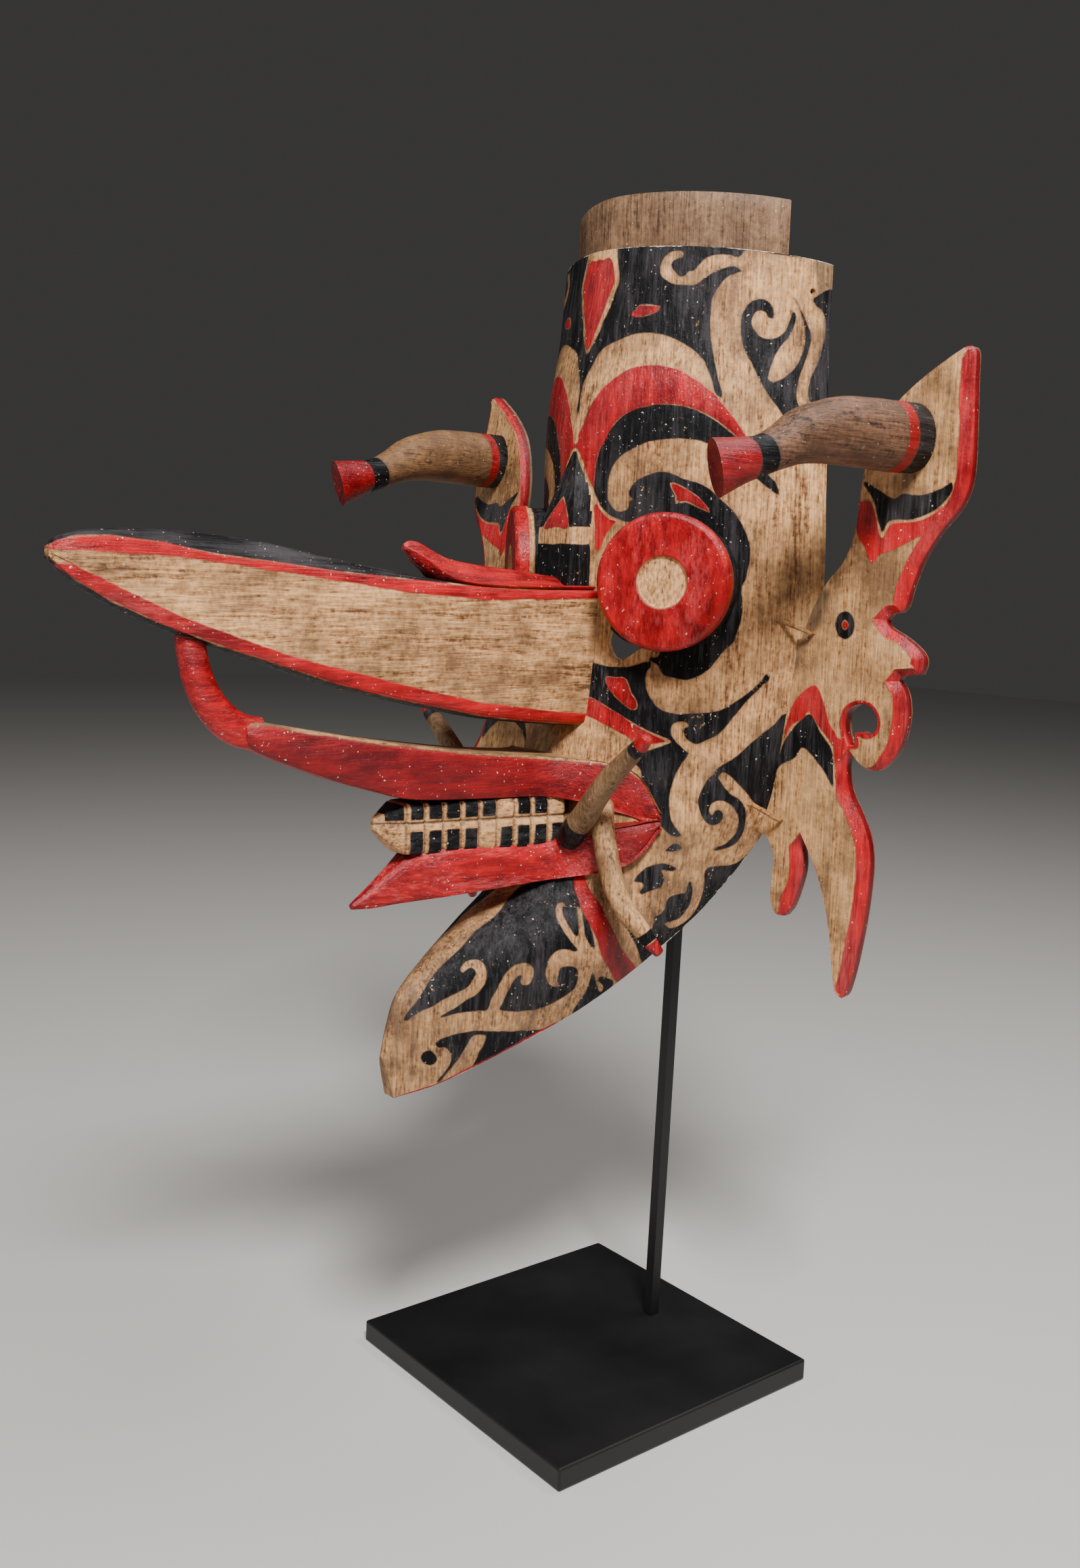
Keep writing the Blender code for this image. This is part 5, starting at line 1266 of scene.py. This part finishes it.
# Ear horns
# Drooping horns of dark wood, thick where they are pegged to the ears and flared at the cut tip,
# ringed in black and red.
HORN_BASE = {1: 67.0, -1: 78.0}
HORN_TIP = 37.0
HORN_BAND, HORN_SLANT, HORN_EXTRA = 127.0, np.radians(32), 4.0
HORN_ROOT_BLACK, HORN_ROOT_RED = 13, 22      # how far forward the two rings at the ear reach
HORN_RING, HORN_RING_HALF, HORN_END_RED = 125.5, 6.5, 132
# How much each horn is darkened overall, and more on its painted rings and cut end.
HORN_SOIL, HORN_PAINT_DARKENING = 0.1, 0.5
HORN_AROUND, HORN_ALONG = 56, 150
HORN_PATH = [
    # forward of the ear, z, half width, half height
    (0.0, 632, 15, 20), (20, 631.5, 16, 20), (40, 631.5, 16.3, 19.5), (60, 631, 16, 18.8),
    (77, 629, 15, 17), (93, 625.5, 13.5, 15), (108, 619, 11.5, 12), (123, 613, 10.5, 10.8),
    (137, 609.5, 11.2, 12.5), (151, 605.5, 13.5, 15.5),
]
HORN_TONES = {
    1: ((0.21, 0.10, 0.055, 1), (0.09, 0.042, 0.024, 1), (0.02, 0.011, 0.008, 1)),
    -1: ((0.27, 0.14, 0.06, 1), (0.16, 0.078, 0.032, 1), (0.06, 0.028, 0.014, 1)),
}
HORN_HOLLOW = [               # share of the cut end's width, share of the way to a ring behind it
    (0.93, -0.02), (0.86, 0.05), (0.6, 0.3), (0.3, 0.42), (0.05, 0.45),
]


def nearest_step(points, path):
    """For each point, the number of the place on a path that is the least distance away."""
    return np.argmin(np.linalg.norm(points[:, None] - path[None], axis=2), axis=1)


for side, word in ((1, "left"), (-1, "right")):
    rows = curve_at(HORN_PATH, np.linspace(0, len(HORN_PATH) - 1, HORN_ALONG))
    out = HORN_BASE[side] + (HORN_TIP - HORN_BASE[side]) * rows[:, 0] / rows[-1, 0]
    x, y, sweep, lean = EAR_PLACES[side]
    path = ear_points(side, np.column_stack([out, rows[:, 1]]), -rows[:, 0])
    across = np.array((side * np.cos(sweep), np.sin(sweep), 0.0))
    rings = tube(path, rows[:, 2] * MM, rows[:, 3] * MM, across, HORN_AROUND)
    back = np.array((-side * np.sin(sweep), np.cos(sweep), 0.0))
    slope = np.array((0, 0, 1.0)) + back * np.tan(lean)
    face = np.cross(across, slope)
    rings[0] -= (((rings[0] - path[0]) @ face) / (back @ face))[:, None] * back
    ahead = path[-1] - path[-4]
    ahead /= np.linalg.norm(ahead)
    reach = np.clip((rows[:, 0] - HORN_BAND) / (rows[-1, 0] - HORN_BAND), 0, 1)[:, None]
    aslant = side * ((rings - path[:, None]) @ across)
    rings += ((aslant * np.tan(HORN_SLANT) + HORN_EXTRA * MM) * reach)[..., None] * ahead
    cut_centre = rings[-1].mean(axis=0)
    inwards = rings[-6].mean(axis=0) - cut_centre
    hollow = [cut_centre + (rings[-1] - cut_centre) * scale + inwards * depth
              for scale, depth in HORN_HOLLOW]
    rings = np.concatenate([rings, hollow])
    horn = lofted("horn_" + word, rings, sharp=60)
    along = rows[nearest_step(points_of(horn), path), 0]
    black = np.maximum(HORN_ROOT_BLACK - along, HORN_RING_HALF - np.abs(along - HORN_RING))
    red = np.maximum(np.minimum(along - HORN_ROOT_BLACK, HORN_ROOT_RED - along), along - HORN_END_RED)
    # The painted rings and the cut end are darkened; on the cut end this is painted shade.
    near_paint = np.maximum(red, black) > -2
    mark(horn, black=black, red=red, soil=np.where(near_paint, HORN_PAINT_DARKENING, HORN_SOIL))
    dress(horn, painted_finish("horn_finish_" + word, grain=(1, 0.06, 1), tones=HORN_TONES[side]),
          "horn_wood", "ear_horn_" + word)


# Tusks
# Four whittled pegs of wood let into the face, curving out of the corners of the mouth. Each one
# ends in a black ring and a red tip.
UPPER_TUSK = [
    (36, -58, 384, 8.0), (44, -61, 391, 8.4), (56, -63, 402, 8.0), (70, -65, 417, 7.3),
    (84, -66, 431, 6.6), (97, -66.5, 442, 5.8), (107, -67, 450, 5.0), (114, -67.5, 456, 3.6),
]
LOWER_TUSK = [
    (46, -40, 405, 7.2), (57, -49, 396, 7.2), (64, -51, 378.5, 7.2), (71.5, -50.5, 360, 6.9),
    (79, -47.5, 346, 6.4), (87, -43, 336.5, 5.6), (93, -38.5, 327.5, 4.6), (97, -34.5, 321, 3.2),
]
TUSK_TONES = {
    "upper": ((0.33, 0.2, 0.1, 1), (0.2, 0.11, 0.05, 1), (0.08, 0.04, 0.02, 1)),
    "lower": ((0.72, 0.42, 0.20, 1), (0.46, 0.24, 0.10, 1), (0.13, 0.06, 0.025, 1)),
}
TUSK_AROUND, TUSK_ALONG = 36, 90
TUSK_ROOT = {"upper": 0.22, "lower": -1.0}   # shares of a tusk's length: the end of the black root,
TUSK_RING = {"upper": (0.80, 0.88), "lower": (0.77, 0.86)}    # the black ring, with red after it
TUSK_END = [(0.8, 0.8), (0.4, 1.2)]          # share of the tip's width, millimetres ahead of it
for level, stations in (("upper", UPPER_TUSK), ("lower", LOWER_TUSK)):
    for side, word in ((1, "left"), (-1, "right")):
        rows = curve_at(stations, np.linspace(0, len(stations) - 1, TUSK_ALONG))
        path = rows[:, :3] * (side, 1, 1) * MM
        rings = tube(path, rows[:, 3] * MM, rows[:, 3] * MM, np.array((0, 1.0, 0)), TUSK_AROUND)
        tip = rings[-1].mean(axis=0)
        ahead = (path[-1] - path[-2]) / np.linalg.norm(path[-1] - path[-2])
        end = [tip + (rings[-1] - tip) * scale + ahead * reach * MM for scale, reach in TUSK_END]
        rings = np.concatenate([rings, end])
        tusk = lofted("tusk_%s_%s_carving" % (level, word), rings, sharp=60)
        carve(tusk, face_block, sharp=60)
        along = nearest_step(points_of(tusk), path) / (TUSK_ALONG - 1)
        ring_start, ring_end = TUSK_RING[level]
        ring = np.minimum(along - ring_start, ring_end - along)
        mark(tusk, black=np.maximum(TUSK_ROOT[level] - along, ring) * TUSK_ALONG,
             red=(along - ring_end) * TUSK_ALONG)
        dress(tusk, painted_finish("tusk_finish_%s_%s" % (level, word), tones=TUSK_TONES[level]),
              "tusk_wood", "tusk_%s_%s" % (level, word))


# Ties
# Strips of split rattan that hold each ear to the head at two places. Each one bows from a hole
# drilled in the head to one in the ear.
CANE_TONES = (0.50, 0.25, 0.08, 1), (0.28, 0.125, 0.04, 1), (0.08, 0.035, 0.012, 1)
tie_finish = painted_finish("rattan_finish", grain=(1, 1, 1), tones=CANE_TONES, bare=True)
for level in ("upper", "lower"):
    for word in ("left", "right"):
        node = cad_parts["tie_%s_%s" % (level, word)]
        for slot in node.material_slots:
            slot.material = tie_finish


# Stand
# A welded steel stand in satin black: a square plate, a square upright and two arms whose round
# pads press against the inside of the mask.
steel_finish = bpy.data.materials.new("black_steel_finish")
steel_finish.use_nodes = True
tree = steel_finish.node_tree
shader = tree.nodes["Principled BSDF"]
where = add(tree, "ShaderNodeTexCoord").outputs["Object"]
fine = noise(tree, where, 900, 2, 0.5)
broad = noise(tree, where, 12, 3, 0.5)
STEEL_BLACK, STEEL_WORN = (0.006, 0.006, 0.0065, 1), (0.012, 0.011, 0.011, 1)
tree.links.new(mix(tree, ranged(tree, broad, 0.3, 0.7), STEEL_BLACK, STEEL_WORN),
               shader.inputs["Base Color"])
tree.links.new(ranged(tree, broad, 0.3, 0.7, 0.38, 0.5), shader.inputs["Roughness"])
shader.inputs["Metallic"].default_value = 0.3
bump = add(tree, "ShaderNodeBump", {"Height": fine, "Strength": 0.25, "Distance": 0.0002})
tree.links.new(bump.outputs[0], shader.inputs["Normal"])
for name in ("stand_base", "stand_rod"):
    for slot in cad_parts[name].material_slots:
        slot.material = steel_finish

for cutter in (face_block, snout_block):
    bpy.data.objects.remove(cutter)


# Studio
# A plain pale floor under a large soft lamp on the camera's right, a weaker one on its left and
# one above.
floor = piece_from("floor", [(-6, -6, 0), (6, -6, 0), (6, 6, 0), (-6, 6, 0)], [(0, 1, 2, 3)])
floor_material = bpy.data.materials.new("floor")
floor_material.use_nodes = True
floor_material.node_tree.nodes["Principled BSDF"].inputs["Base Color"].default_value = (0.56, 0.53, 0.50, 1)
floor_material.node_tree.nodes["Principled BSDF"].inputs["Roughness"].default_value = 0.7
floor.data.materials.append(floor_material)
TARGET = np.array((0, -0.05, 0.45))
LAMPS = [
    # place, size, watts
    ((1.35, -0.8, 2.1), 0.6, 104), ((-1.3, -1.6, 1.3), 1.0, 7), ((0.4, 0.7, 1.9), 0.9, 16),
]
for number, (place, size, watts) in enumerate(LAMPS):
    lamp_data = bpy.data.lights.new("lamp_%d" % number, "AREA")
    lamp_data.shape = "DISK"
    lamp_data.size = size
    lamp_data.energy = watts
    lamp = bpy.data.objects.new("lamp_%d" % number, lamp_data)
    away = np.array(place) - TARGET
    away /= np.linalg.norm(away)
    beside = np.cross((0, 0, 1.0), away)
    beside /= np.linalg.norm(beside)
    lamp.matrix_world = Matrix([[*row] for row in np.vstack([
        np.column_stack([beside, np.cross(away, beside), away, place]), (0, 0, 0, 1)])])
    bpy.context.scene.collection.objects.link(lamp)
world = bpy.data.worlds.new("studio")
world.use_nodes = True
world.node_tree.nodes["Background"].inputs["Color"].default_value = (0.9, 0.88, 0.86, 1)
world.node_tree.nodes["Background"].inputs["Strength"].default_value = 0.05
bpy.context.scene.world = world
